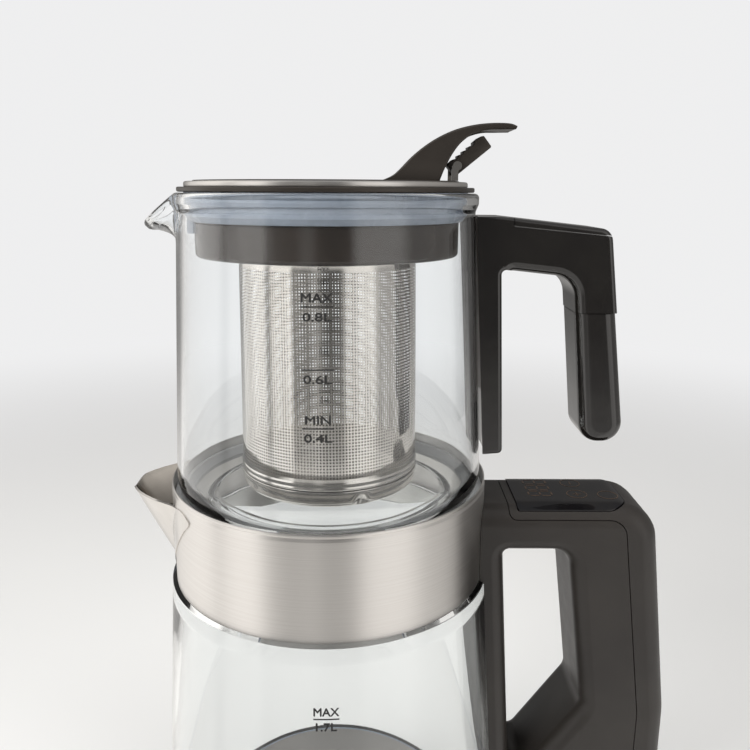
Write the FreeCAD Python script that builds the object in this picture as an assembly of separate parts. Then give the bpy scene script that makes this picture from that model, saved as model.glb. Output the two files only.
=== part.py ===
import FreeCAD, Part
import math
import os
from FreeCAD import Vector

os.makedirs("parts", exist_ok=True)

# Two-tier tea maker: a glass teapot with a tea basket in its lid stands in the mouth
# of a glass kettle, and the kettle stands on a round power base.
# Millimetres, +Z up, the kettle's axis is Z, the table is Z = 0,
# the handles point to +X and both spouts to -X.

# Clearances
restGap = 0.3         # between two pieces that are stacked and lift apart
sideGap = 0.3         # between the walls of pieces that lift or turn past each other
bondGap = 0.2         # filled by glue or a press fit in the real thing
pinGap = 0.05         # running fit of the lever on its pin

# Power base
baseHeight = 18.0
baseProud = 2.3       # the base stands out this much around the kettle's foot
baseTaper = 2.5       # the base is this much narrower at its top
baseWall = 2.4
baseLedge = 3.0       # the shell's inner ledge, over the edge of the bottom plate
baseSoftEdge = 6.0    # height of the side's round start above the bottom plate
baseRoofInset = 2.0   # the shell's hollow is this much narrower under its roof
basePlateThick = 2.2
footProud = 1.2
footDepth = 2.0
footInset = 10.5      # from the base's side in to the foot ring
footWidth = 8.0
baseScrewInset = 9.0  # from the foot ring in to the screws
screwBossWall = 1.2
couplerRadius = 17.0
couplerRise = 8.5
couplerSocketRadius = 4.2
couplerSocketDepth = 9.0
contactRingRadius = 9.5
contactRingWidth = 1.6
contactRingDepth = 5.0
inletBoreRadius = 3.4
inletOuterRadius = 5.9
inletStep = 1.7       # the inlet's collar stands out this much inside the wall
inletInside = 8.5     # how far the inlet reaches in from the shell's inner side
inletOutside = 2.0    # how far it reaches out into the wall
inletHeight = 9.5
couplerFlangeWidth = 3.0
couplerBody = 8.0     # height of the coupler's body under the shell's roof
couplerLegRadius = 3.0
couplerLegX = 12.0
terminalHalfLength = 14.0
terminalWidth = 14.0
terminalHeight = 7.5
terminalY = 26.0
terminalPitch = 8.0
terminalSlot = 4.0

# Kettle bottom
housingHeight = 28.7
housingLip = 1.3      # plastic around the foot of the glass
housingTaper = 0.6    # the housing is this much wider at its foot
housingWall = 2.2
housingCoverThick = 2.2
plateThick = 1.5
plateRim = 4.0
spreaderRadius = 58.0
spreaderThick = 3.0
elementRadius = 44.0
elementTube = 3.4
elementGapAngle = 50.0
plugRadius = 23.0
plugPinGap = 0.9
sensorRadius = 3.0
sensorRise = 6.0
sensorX = 26.0
cutoutRadius = 7.0
cutoutHeight = 5.0
cutoutCircle = 30.0
glassSeatDepth = 2.5  # rubber under the glass
plateLip = 1.2        # the plate's rim over the rubber

# Kettle glass and collar
visibleGlass = 144.1
kettleFootRadius = 75.3
shoulderStep = 1.77   # the glass stands out this much below the collar
kettleWall = 3.0
glassTongue = 13.0    # glass that stands up inside the collar
tongueShoulder = 3.0
collarHeight = 41.3
collarWall = 0.8
collarFlare = 0.3     # the collar is this much wider at its bottom
mouthGap = 0.4        # between the pot and the collar's rim
seatHeight = 5.6
seatWidth = 5.0
slotHalfWidth = 9.0
slotHalfHeight = 3.8
slotDrop = 20.0       # from the collar's rim down to the pour slot's middle
slotMargin = 15.0     # the cut starts this far outside the collar

# Kettle spout
spoutProud = 18.77    # its tip beyond the collar
spoutRootHalf = 26.0
spoutNoseRadius = 3.5
spoutSheet = 1.0
spoutDrop = 7.2       # its top edge under the collar's rim
spoutFootRise = 0.3   # its lowest point above the collar's lower edge
spoutFootHalf = 1.6
spoutFootProud = 0.6
spoutBackDepth = 9.0  # how far its sides run on inside the collar's outline
flangeHalf = 37.0
flangeSheet = 0.7
flangeCorner = 6.0
flangeDrop = 1.0      # its top edge under the spout's
flangeSide = 9.0      # height of its upright ends
flangeSlant = 5.0

# Kettle handle
handleDrop = 10.4     # its top under the collar's rim
handleHalfWidth = 19.5
handleReachTop = 132.6
handleReachMid = 144.6
handleMidHeight = 128.0
handleReachLow = 145.0
handleLowHeight = 82.0
handleHeelX = 84.0
handleHeelRise = 4.0  # its lower end above the heating plate
armThick = 19.0
spineThick = 6.3
gripInnerTop = 98.6
gripInnerLow = 108.0
gripLowHeight = 130.0
openingLowHeight = 89.0
handleOuterRound = 8.0
handleInnerRound = 5.5
handleCorner = 15.0
openingCorner = 8.0
coverThick = 4.6
coverSetback = 8.77   # from the collar to the cover
coverStripThick = 13.1
lensSetback = 12.27   # from the collar to the touch panel
lensMargin = 11.1     # from the touch panel to the handle's back
lensHalfWidth = 17.2
lensThick = 2.4
lensProud = 0.5
lensCorner = 9.0
lensBevel = 0.9
windowMargin = 2.2
windowHalfWidth = 12.0
boardThick = 1.6
boardHalfWidth = 14.7
boardDrop = 1.0       # the board's top under the cover's underside
padRadius = 4.0
padWall = 0.8
padInset = 18.2       # from the panel's outer end to the first touch contact
padStep = 11.4
displayInset = 5.0
displayGap = 1.8      # from the display to the first touch contact
displayHalfWidth = 9.0
cavityFloor = 4.0     # plastic left under the cavity in the arm
ribbonThick = 1.0
ribbonHalfWidth = 5.0
ribbonDepth = 1.9     # plastic between the glass and the flat wiring

# Teapot
potSink = 10.9        # how deep it stands in the collar
potHeight = 123.0
potTopRadius = 56.4
potFootRadius = 63.6
potCorner = 15.0
potWall = 2.5
potFloor = 3.7
potBeadProud = 1.6
potBeadHeight = 3.8
potMouthInset = 2.4
potSpoutProud = 14.6      # the lip's tip beyond the pot's top
potSpoutRootHalf = 17.0
potSpoutTipHalf = 3.2
potSpoutWall = 1.6
potSpoutTopDrop = 9.0
potSpoutTipDepth = 4.2
potSpoutRootDepth = 21.0

# Teapot handle
potHandleTopDrop = 7.9
potHandleEndDrop = 12.4
potHandleProudTop = 51.0  # from the pot's wall to the handle's back
potHandleProudLow = 54.4
potHandleTail = 26.0      # the grip's end above the pot's underside
potStripTail = 21.5       # the strip's end above the pot's underside
potStripProudTop = 10.2   # the strip's face beyond the pot's top
potStripProudLow = 6.4
potArmThick = 19.6
potGripThickTop = 13.0
potGripThickLow = 16.7
potHandleHalfWidth = 12.5
potInnerRound = 4.0
potGripEnd = 7.5
potCapThick = 3.4
potCapSetback = 14.0      # from the pot's top to the cap
potSeamDrop = 44.5
potHandleInset = 11.4     # its outline starts this far inside the pot's top
bondPadThick = 0.8
bondPadGap = 0.15

# Lid
lidRingInset = 0.2        # from the pot's top in to the lid's edge
lidRingHeight = 1.8
trimInset = 2.7
trimHeight = 2.0
trimWidth = 1.4
lidTopHeight = 2.5
sealThick = 3.8
lidWallThick = 2.0
lidWallDepth = 11.0
sealDepth = 10.5
sealLip = 2.2
sealApronDepth = 4.5
sealApronHalf = 13.0
pourHoleHalf = 3.2
skirtProud = 0.3          # the skirt stands out this much below the lid's wall
skirtDepth = 12.4
skirtWall = 1.8
skirtFloor = 2.0

# Tea basket
basketTopRadius = 34.3
basketFlare = 1.3         # the basket is this much wider at its foot
basketWall = 0.6
basketNeckWall = 1.8
lugReach = 2.8
lugThick = 1.6
lugHalfAngle = 7.0
lugCount = 3
basketTwist = 30.0
basketLift = 3.3          # the basket cap's underside above the pot's floor
basketCapHeight = 7.8
basketCapWall = 1.0
basketSpigot = 2.6

# Fin and release lever
finHalfWidth = 9.5
finStartInset = 34.9      # from the pot's rim in to where the fin leaves the lid
finEndProud = 13.3        # the fin's end beyond the pot's rim
finRise = 20.8
finHeelInset = 14.1
leverHalfWidth = 6.6
leverLength = 16.6
leverThick = 5.3
leverAngle = 39.0
leverPivotInset = 7.5
leverPivotRise = 5.4
leverTravel = 9.0
leverPinRadius = 1.0
leverPocketSkin = 0.45
postWidth = 1.6
postHeadRadius = 1.7

screwRadius = 1.5
screwHeadRadius = 2.8
screwHeadHeight = 1.6
screwLength = 8.0

# Heights that follow from the sizes above
kettleFloorZ = baseHeight + restGap
plateTopZ = kettleFloorZ + housingHeight
glassFootZ = plateTopZ - plateRim
collarBottomZ = plateTopZ + visibleGlass
collarTopZ = collarBottomZ + collarHeight
potBottomZ = collarTopZ - potSink
potTopZ = potBottomZ + potHeight
potCornerZ = potBottomZ + potCorner
lidRingZ = potTopZ + restGap
lidRingTopZ = lidRingZ + lidRingHeight
trimTopZ = lidRingTopZ + trimHeight
lidTopZ = lidRingTopZ + lidTopHeight
lidWallBottomZ = lidRingZ - lidWallDepth
skirtBottomZ = lidWallBottomZ - skirtDepth
skirtFloorZ = skirtBottomZ + skirtFloor
handleTopZ = collarTopZ - handleDrop
armBottomZ = handleTopZ - armThick

# Radii and reaches that follow from them
housingTopRadius = kettleFootRadius + housingLip
housingFootRadius = housingTopRadius + housingTaper
baseRadius = housingFootRadius + baseProud
baseTopRadius = baseRadius - baseTaper
footOuterRadius = baseRadius - footInset
footInnerRadius = footOuterRadius - footWidth
baseScrewCircle = footInnerRadius - baseScrewInset
potBeadRadius = potTopRadius + potBeadProud
potMouthRadius = potTopRadius - potMouthInset
potSpoutReach = potTopRadius + potSpoutProud
potHandleStart = potTopRadius - potHandleInset
potStripTop = potTopRadius + potStripProudTop
potStripLow = potFootRadius + potStripProudLow
potHandleReachTop = potTopRadius + potHandleProudTop
potHandleReachLow = potFootRadius + potHandleProudLow
potGripInnerTop = potHandleReachTop - potGripThickTop
potGripInnerLow = potHandleReachLow - potGripThickLow
potCapStart = potTopRadius + potCapSetback
lidRingRadius = potTopRadius - lidRingInset
trimRadius = lidRingRadius - trimInset
lidWallRadius = potMouthRadius - sealThick
skirtRadius = lidWallRadius + skirtProud
basketFootRadius = basketTopRadius + basketFlare
finStart = potTopRadius - finStartInset
finEnd = potTopRadius + finEndProud
finHeelX = potTopRadius - finHeelInset
leverPivotX = potTopRadius - leverPivotInset


def potRadius(z):
    """Outer radius of the pot's wall above its rounded corner."""
    share = (z - potCornerZ) / (potTopZ - potCornerZ)
    return potFootRadius + (potTopRadius - potFootRadius) * share


def potEnvelopeRadius(z):
    """Outer radius of the pot at any height, its rounded corner included."""
    if z >= potCornerZ:
        return potRadius(z)
    down = potCornerZ - z
    return potFootRadius - potCorner + math.sqrt(potCorner ** 2 - down ** 2)


collarInnerTop = potEnvelopeRadius(collarTopZ) + mouthGap
collarOuterTop = collarInnerTop + collarWall
collarOuterBottom = collarOuterTop + collarFlare
kettleNeckRadius = collarOuterBottom + shoulderStep
spoutReach = collarOuterTop + spoutProud
coverStart = collarOuterTop + coverSetback
coverStripTop = handleReachTop - coverStripThick
coverStripLow = handleReachMid - coverStripThick
lensStart = collarOuterTop + lensSetback
lensEnd = handleReachTop - lensMargin
firstPadX = lensEnd - padInset


def kettleRadius(z):
    """Outer radius of the kettle's visible glass."""
    share = (z - plateTopZ) / visibleGlass
    return kettleFootRadius + (kettleNeckRadius - kettleFootRadius) * share


def outline(corners):
    """A closed wire in the XZ plane from (x, z) or (x, z, radius) corners."""
    points = [Vector(corner[0], 0, corner[1]) for corner in corners]
    radii = [corner[2] if len(corner) > 2 else 0 for corner in corners]
    stops = []
    for i, point in enumerate(points):
        if not radii[i]:
            stops.append((point, None, point))
            continue
        before = (points[i - 1] - point).normalize()
        after = (points[(i + 1) % len(points)] - point).normalize()
        half = before.getAngle(after) / 2
        run = radii[i] / math.tan(half)
        bisector = (before + after).normalize()
        middle = point + bisector * (radii[i] / math.sin(half) - radii[i])
        stops.append((point + before * run, middle, point + after * run))
    edges = []
    for i, (start, middle, end) in enumerate(stops):
        if middle:
            edges.append(Part.Arc(start, middle, end).toShape())
        following = stops[(i + 1) % len(stops)][0]
        if end.distanceToPoint(following) > 1e-6:
            edges.append(Part.LineSegment(end, following).toShape())
    return Part.Wire(edges)


def turned(corners):
    """A solid turned about Z from a closed outline of (radius, z) corners."""
    return Part.Face(outline(corners)).revolve(Vector(), Vector(0, 0, 1), 360)


def slab(corners, halfWidth):
    """An XZ outline made thick from -halfWidth to halfWidth along Y."""
    face = Part.Face(outline(corners))
    face.translate(Vector(0, -halfWidth, 0))
    return face.extrude(Vector(0, 2 * halfWidth, 0))


def tube(outer, inner, z0, z1):
    return turned([(inner, z0), (outer, z0), (outer, z1), (inner, z1)])


def rod(radius, z0, z1, x=0, y=0):
    return Part.makeCylinder(radius, z1 - z0, Vector(x, y, z0))


def block(x0, x1, y0, y1, z0, z1):
    return Part.makeBox(x1 - x0, y1 - y0, z1 - z0, Vector(x0, y0, z0))


def around(shape, count, first=0):
    """Copies of a shape, evenly spaced about Z."""
    copies = []
    for i in range(count):
        copy = shape.copy()
        copy.rotate(Vector(), Vector(0, 0, 1), first + i * 360 / count)
        copies.append(copy)
    return copies


def fuse(first, *others):
    for other in others:
        first = first.fuse(other)
    return first.removeSplitter()


def cut(first, *others):
    for other in others:
        first = first.cut(other)
    return first


def rimEdges(shape, y):
    """The edges of a slab that lie in the plane at this Y."""
    return [e for e in shape.Edges
            if abs(e.BoundBox.YMin - y) < 1e-4 and abs(e.BoundBox.YMax - y) < 1e-4]


def roundRims(shape, halfWidth, radius):
    return shape.makeFillet(radius, rimEdges(shape, -halfWidth) + rimEdges(shape, halfWidth))


def screw(x, y, z, length, down=True):
    """A round-headed screw whose head seats at z; its shank runs away from the head."""
    if down:
        return fuse(rod(screwHeadRadius, z, z + screwHeadHeight, x, y),
                    rod(screwRadius, z - length, z, x, y))
    return fuse(rod(screwHeadRadius, z - screwHeadHeight, z, x, y),
                rod(screwRadius, z, z + length, x, y))


parts = {}


def powerBase():
    plateTop = footProud + basePlateThick
    shellInner = baseRadius - baseWall
    roof = baseHeight - baseWall
    plateRadius = shellInner - bondGap
    bossTop = baseHeight + couplerRise
    couplerFlange = couplerRadius + couplerFlangeWidth
    bodyLow = roof - couplerBody
    roofRadius = baseTopRadius - baseWall - baseRoofInset
    inletStart = shellInner - inletInside
    yAxis = Vector(0, 1, 0)

    shell = turned([(0, roof), (roofRadius, roof, 3),
                    (shellInner, plateTop), (shellInner, footProud),
                    (baseRadius, footProud, 0.8), (baseRadius, plateTop + baseSoftEdge, 8),
                    (baseTopRadius, baseHeight, 2.5), (0, baseHeight)])
    ledge = tube(shellInner, shellInner - baseLedge, plateTop, plateTop + basePlateThick)
    posts = around(rod(screwHeadRadius + screwBossWall, plateTop, roof + 0.5,
                       baseScrewCircle), 4, 45)
    neckRadius = inletOuterRadius - inletStep
    inletHole = Part.makeCylinder(neckRadius + bondGap, inletInside + inletOutside + baseWall,
                                  Vector(0, inletStart, inletHeight), yAxis)
    screwHoles = around(rod(screwRadius, plateTop - 1, plateTop + screwLength + 1,
                            baseScrewCircle), 4, 45)
    hole = rod(couplerRadius + bondGap, roof - 1, baseHeight + 1)
    parts["base_shell"] = cut(fuse(shell, ledge, *posts), hole, inletHole, *screwHoles)

    plate = rod(plateRadius, footProud, plateTop)
    groove = tube(footOuterRadius + bondGap, footInnerRadius - bondGap,
                  footProud - 1, footDepth)
    headTop = footProud + screwHeadHeight
    plateHoles = around(rod(screwRadius + 0.2, 0, plateTop + 1, baseScrewCircle), 4, 45)
    recesses = around(rod(screwHeadRadius + 0.2, 0, headTop, baseScrewCircle), 4, 45)
    parts["base_bottom_plate"] = cut(plate, groove, *plateHoles, *recesses)
    parts["base_foot_ring"] = turned([(footInnerRadius, 0, 0.4), (footOuterRadius, 0, 0.4),
                                      (footOuterRadius, footDepth),
                                      (footInnerRadius, footDepth)])
    parts["base_screws"] = Part.makeCompound(around(
        screw(baseScrewCircle, 0, headTop, screwLength, down=False), 4, 45))

    body = turned([(0, bodyLow), (couplerFlange, bodyLow), (couplerFlange, roof - bondGap),
                   (couplerRadius, roof - bondGap), (couplerRadius, bossTop, 2), (0, bossTop)])
    socket = rod(couplerSocketRadius, bossTop - couplerSocketDepth, bossTop + 1)
    ringGroove = tube(contactRingRadius + contactRingWidth, contactRingRadius,
                      bossTop - contactRingDepth, bossTop + 1)
    parts["base_coupler"] = cut(body, socket, ringGroove)
    contactTop = bossTop - contactRingDepth
    ring = tube(contactRingRadius + contactRingWidth - 0.1, contactRingRadius + 0.1,
                contactTop, contactTop + 1.2)
    centre = tube(couplerSocketRadius - 0.05, couplerSocketRadius - 0.55,
                  bossTop - couplerSocketDepth, bossTop - 2)
    parts["base_contacts"] = Part.makeCompound([ring, centre])

    terminalTop = plateTop + terminalHeight
    terminal = block(-terminalHalfLength, terminalHalfLength, terminalY,
                     terminalY + terminalWidth, plateTop, terminalTop)
    slots = [block(x - terminalSlot / 2, x + terminalSlot / 2, terminalY - 1,
                   terminalY + terminalWidth / 2, plateTop + 2, terminalTop + 1)
             for x in (-terminalPitch, 0, terminalPitch)]
    parts["base_terminal_block"] = cut(terminal, *slots)
    legs = [rod(couplerLegRadius, plateTop, bodyLow, x, 0) for x in (-couplerLegX, couplerLegX)]
    parts["base_coupler"] = fuse(parts["base_coupler"], *legs)

    inletEnd = shellInner + inletOutside
    collarLength = roofRadius - baseRoofInset - inletStart
    start = Vector(0, inletStart, inletHeight)
    gland = fuse(Part.makeCylinder(inletOuterRadius, collarLength, start, yAxis),
                 Part.makeCylinder(neckRadius, inletEnd - inletStart, start, yAxis))
    bore = Part.makeCylinder(inletBoreRadius, inletEnd - inletStart + 2,
                             Vector(0, inletStart - 1, inletHeight), yAxis)
    parts["base_cord_inlet"] = cut(gland, bore)


def kettleBottom():
    coverTop = kettleFloorZ + housingCoverThick
    inner = housingFootRadius - housingWall
    glassSeat = glassFootZ - glassSeatDepth
    sealInner = kettleFootRadius - kettleWall - 2

    shell = turned([(housingFootRadius, kettleFloorZ, 1.2), (housingTopRadius, plateTopZ - 0.4, 0.8),
                    (kettleFootRadius + bondGap, plateTopZ - 0.4),
                    (kettleFootRadius + bondGap, glassSeat),
                    (sealInner, glassSeat), (sealInner, glassSeat - 2),
                    (inner, glassSeat - 4), (inner, coverTop),
                    (inner + 1.0, coverTop), (inner + 1.0, kettleFloorZ)])
    screwCircle = inner - 3.2
    lug = rod(screwHeadRadius + screwBossWall, coverTop, glassSeat - 3.8, screwCircle)
    lug = lug.common(rod(inner + 0.5, coverTop, glassSeat))
    screwHole = rod(screwRadius, coverTop - 1, coverTop + screwLength + 1, screwCircle)
    lugs = around(cut(lug, screwHole), 3, 60)
    parts["kettle_housing"] = fuse(shell, *lugs)

    cover = rod(inner + 1.0 - bondGap, kettleFloorZ, coverTop)
    hole = rod(plugRadius - 3, kettleFloorZ - 1, coverTop + 1)
    headTop = kettleFloorZ + screwHeadHeight
    screwHoles = around(fuse(rod(screwRadius + 0.2, kettleFloorZ - 1, coverTop + 1,
                                 screwCircle),
                             rod(screwHeadRadius + 0.2, kettleFloorZ - 1, headTop,
                                 screwCircle)), 3, 60)
    parts["kettle_bottom_cover"] = cut(cover, hole, *screwHoles)
    parts["kettle_bottom_screws"] = Part.makeCompound(around(
        screw(screwCircle, 0, headTop, screwLength, down=False), 3, 60))

    plateRadius = sealInner + plateLip
    plate = turned([(0, plateTopZ - plateThick), (plateRadius - 2, plateTopZ - plateThick),
                    (plateRadius - 2, glassFootZ), (plateRadius, glassFootZ),
                    (plateRadius, plateTopZ, 1.2), (0, plateTopZ)])
    sensorHole = rod(sensorRadius, plateTopZ - plateThick - 5, plateTopZ + 1, sensorX)
    parts["heating_plate"] = cut(plate, sensorHole)
    sealTop = plateTopZ - 0.2
    glassInner = kettleFootRadius - kettleWall
    seal = turned([(sealInner, glassSeat), (kettleFootRadius, glassSeat),
                   (kettleFootRadius, glassFootZ), (glassInner - bondGap, glassFootZ),
                   (glassInner - bondGap, sealTop, 0.3), (plateRadius, sealTop),
                   (plateRadius, glassFootZ), (sealInner, glassFootZ)])
    parts["glass_foot_seal"] = seal

    spreaderTop = plateTopZ - plateThick
    spreader = rod(spreaderRadius, spreaderTop - spreaderThick, spreaderTop)
    parts["heat_spreader"] = cut(spreader, rod(sensorRadius, spreaderTop - 9, spreaderTop + 1,
                                               sensorX))
    spreaderFloor = spreaderTop - spreaderThick
    ringCentre = spreaderFloor - elementTube
    element = turned([(elementRadius - elementTube, ringCentre - elementTube, elementTube * 0.9),
                      (elementRadius + elementTube, ringCentre - elementTube, elementTube * 0.9),
                      (elementRadius + elementTube, spreaderFloor),
                      (elementRadius - elementTube, spreaderFloor)])
    wedge = Part.makeCylinder(elementRadius * 2, elementTube * 4,
                              Vector(0, 0, ringCentre - elementTube * 2),
                              Vector(0, 0, 1), elementGapAngle)
    wedge.rotate(Vector(), Vector(0, 0, 1), 180 - elementGapAngle / 2)
    parts["heating_element"] = cut(element, wedge)

    probe = fuse(rod(sensorRadius - 0.05, spreaderFloor - 4, plateTopZ + sensorRise - sensorRadius,
                     sensorX),
                 Part.makeSphere(sensorRadius - 0.05,
                                 Vector(sensorX, 0, plateTopZ + sensorRise - sensorRadius)))
    parts["temperature_probe"] = probe

    bossTop = baseHeight + couplerRise
    plugTop = spreaderFloor
    socketRoof = bossTop + 1.5
    body = turned([(0, socketRoof), (couplerRadius + sideGap + 0.2, socketRoof),
                   (couplerRadius + sideGap + 0.2, coverTop + bondGap),
                   (plugRadius, coverTop + bondGap), (plugRadius, plugTop), (0, plugTop)])
    body = cut(body, parts["temperature_probe"].copy())
    ringWall = tube(contactRingRadius + contactRingWidth - 0.4, contactRingRadius + 0.4,
                    bossTop - contactRingDepth + 1.7, socketRoof + 0.5)
    pin = rod(couplerSocketRadius - plugPinGap, bossTop - couplerSocketDepth + 2, socketRoof + 0.5)
    parts["kettle_plug"] = body
    parts["kettle_plug_pins"] = Part.makeCompound([
        cut(ringWall, body), cut(pin, body)])

    discs = []
    for angle in (-60, 60):
        disc = rod(cutoutRadius, spreaderFloor - cutoutHeight, spreaderFloor, cutoutCircle)
        disc.rotate(Vector(), Vector(0, 0, 1), 180 + angle)
        discs.append(disc)
    parts["thermal_cutouts"] = Part.makeCompound(discs)


def kettleGlass():
    neckInner = collarOuterBottom - collarWall - bondGap
    top = collarBottomZ + glassTongue
    foot = kettleRadius(glassFootZ)
    parts["kettle_glass"] = turned([
        (foot - kettleWall, glassFootZ, 0.8), (foot, glassFootZ, 0.8),
        (kettleRadius(collarBottomZ - tongueShoulder), collarBottomZ - tongueShoulder, 4),
        (neckInner, collarBottomZ, 2), (neckInner, top, 1.2),
        (neckInner - kettleWall, top, 1.2), (neckInner - kettleWall, collarBottomZ, 3),
        (kettleRadius(collarBottomZ - 8) - kettleWall, collarBottomZ - 8, 6)])


def collar():
    innerBottom = collarOuterBottom - collarWall
    shell = turned([(collarOuterBottom, collarBottomZ), (collarOuterTop + 0.1, collarTopZ, 2.2),
                    (collarInnerTop, collarTopZ, 0.35), (collarInnerTop, collarTopZ - 2.5),
                    (collarInnerTop, collarTopZ - 4), (innerBottom, collarBottomZ)])
    slotZ = collarTopZ - slotDrop
    slotX = -collarOuterBottom - slotMargin
    slotLength = 2 * slotMargin
    slotSide = slotHalfWidth - slotHalfHeight
    ends = [Part.makeCylinder(slotHalfHeight, slotLength, Vector(slotX, y, slotZ),
                              Vector(1, 0, 0)) for y in (-slotSide, slotSide)]
    slot = fuse(block(slotX, slotX + slotLength, -slotSide, slotSide,
                      slotZ - slotHalfHeight, slotZ + slotHalfHeight), *ends)
    parts["collar"] = cut(shell, slot)

    # The pot's rounded corner stands on this ring, which is cut to its curve
    seatTop = collarTopZ - 4.6
    seatOuter = collarInnerTop - bondGap
    ring = turned([(seatOuter - seatWidth, seatTop - seatHeight, 0.8),
                   (seatOuter, seatTop - seatHeight, 0.8), (seatOuter, seatTop, 0.5),
                   (seatOuter - seatWidth, seatTop)])
    parts["mouth_seat"] = cut(ring, potSolid(restGap))


def potSolid(grow=0):
    """The pot's outer form, grown evenly to cut its seat."""
    return turned([(0, potBottomZ - grow),
                   (potFootRadius + grow, potBottomZ - grow, potCorner + grow),
                   (potFootRadius + grow, potCornerZ + 0.01), (potTopRadius + grow, potTopZ),
                   (0, potTopZ)])


def bodyEnvelope(grow):
    """The kettle's outer form that its handle is cut to."""
    return turned([(0, 0), (kettleRadius(0) + grow, 0),
                   (kettleRadius(collarBottomZ) + grow, collarBottomZ),
                   (collarOuterBottom + grow, collarBottomZ + 0.5),
                   (collarOuterTop + grow + 0.1, collarTopZ + 5), (0, collarTopZ + 5)])


def kettleSpout():
    topZ = collarTopZ - spoutDrop
    rootX = -math.sqrt(collarOuterTop ** 2 - spoutRootHalf ** 2)
    footX = -collarOuterBottom - spoutFootProud
    run = spoutBackDepth

    def section(z, share, inset):
        half = spoutRootHalf * share + spoutFootHalf * (1 - share) - inset * 1.25
        nose = -(spoutReach * share - footX * (1 - share)) + inset * 1.4
        back = rootX * share + (footX + 3.2) * (1 - share) + 0.01
        noseRadius = max(spoutNoseRadius * share + 0.5 * (1 - share) - inset * 0.4, 0.2)
        wire = outline([(back + run, -half - run * 0.9), (nose, 0, noseRadius),
                        (back + run, half + run * 0.9)])
        wire.rotate(Vector(), Vector(1, 0, 0), 90)
        wire.rotate(Vector(), Vector(1, 0, 0), 180)
        wire.translate(Vector(0, 0, z))
        return wire

    lowZ = collarBottomZ + spoutFootRise
    outer = Part.makeLoft([section(lowZ, 0.0, 0), section(topZ, 1.0, 0)], True, True)
    hollow = Part.makeLoft([section(lowZ + 2.5, 0.06, spoutSheet),
                            section(topZ + 0.05, 1.0, spoutSheet)], True, True)
    bodyRound = turned([(0, 0), (collarOuterBottom + 0.02, 0),
                        (collarOuterBottom + 0.02, collarBottomZ),
                        (collarOuterTop + 0.12, collarTopZ), (0, collarTopZ)])
    sheet = cut(outer, hollow)
    skin = turned([(collarOuterBottom + 0.02, collarBottomZ),
                   (collarOuterBottom + flangeSheet, collarBottomZ),
                   (collarOuterTop + 0.1 + flangeSheet, collarTopZ),
                   (collarOuterTop + 0.12, collarTopZ)])
    flangeTop = topZ - flangeDrop
    pane = Part.Face(outline([(0, lowZ), (flangeHalf, flangeTop - flangeSide, flangeCorner),
                              (flangeHalf - flangeSlant, flangeTop, flangeCorner),
                              (-flangeHalf + flangeSlant, flangeTop, flangeCorner),
                              (-flangeHalf, flangeTop - flangeSide, flangeCorner)]))
    prism = pane.extrude(Vector(0, spoutReach, 0))
    prism.rotate(Vector(), Vector(0, 0, 1), 90)
    flange = cut(skin.common(prism), hollow)
    parts["kettle_spout"] = cut(fuse(sheet, flange), bodyRound)


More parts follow.
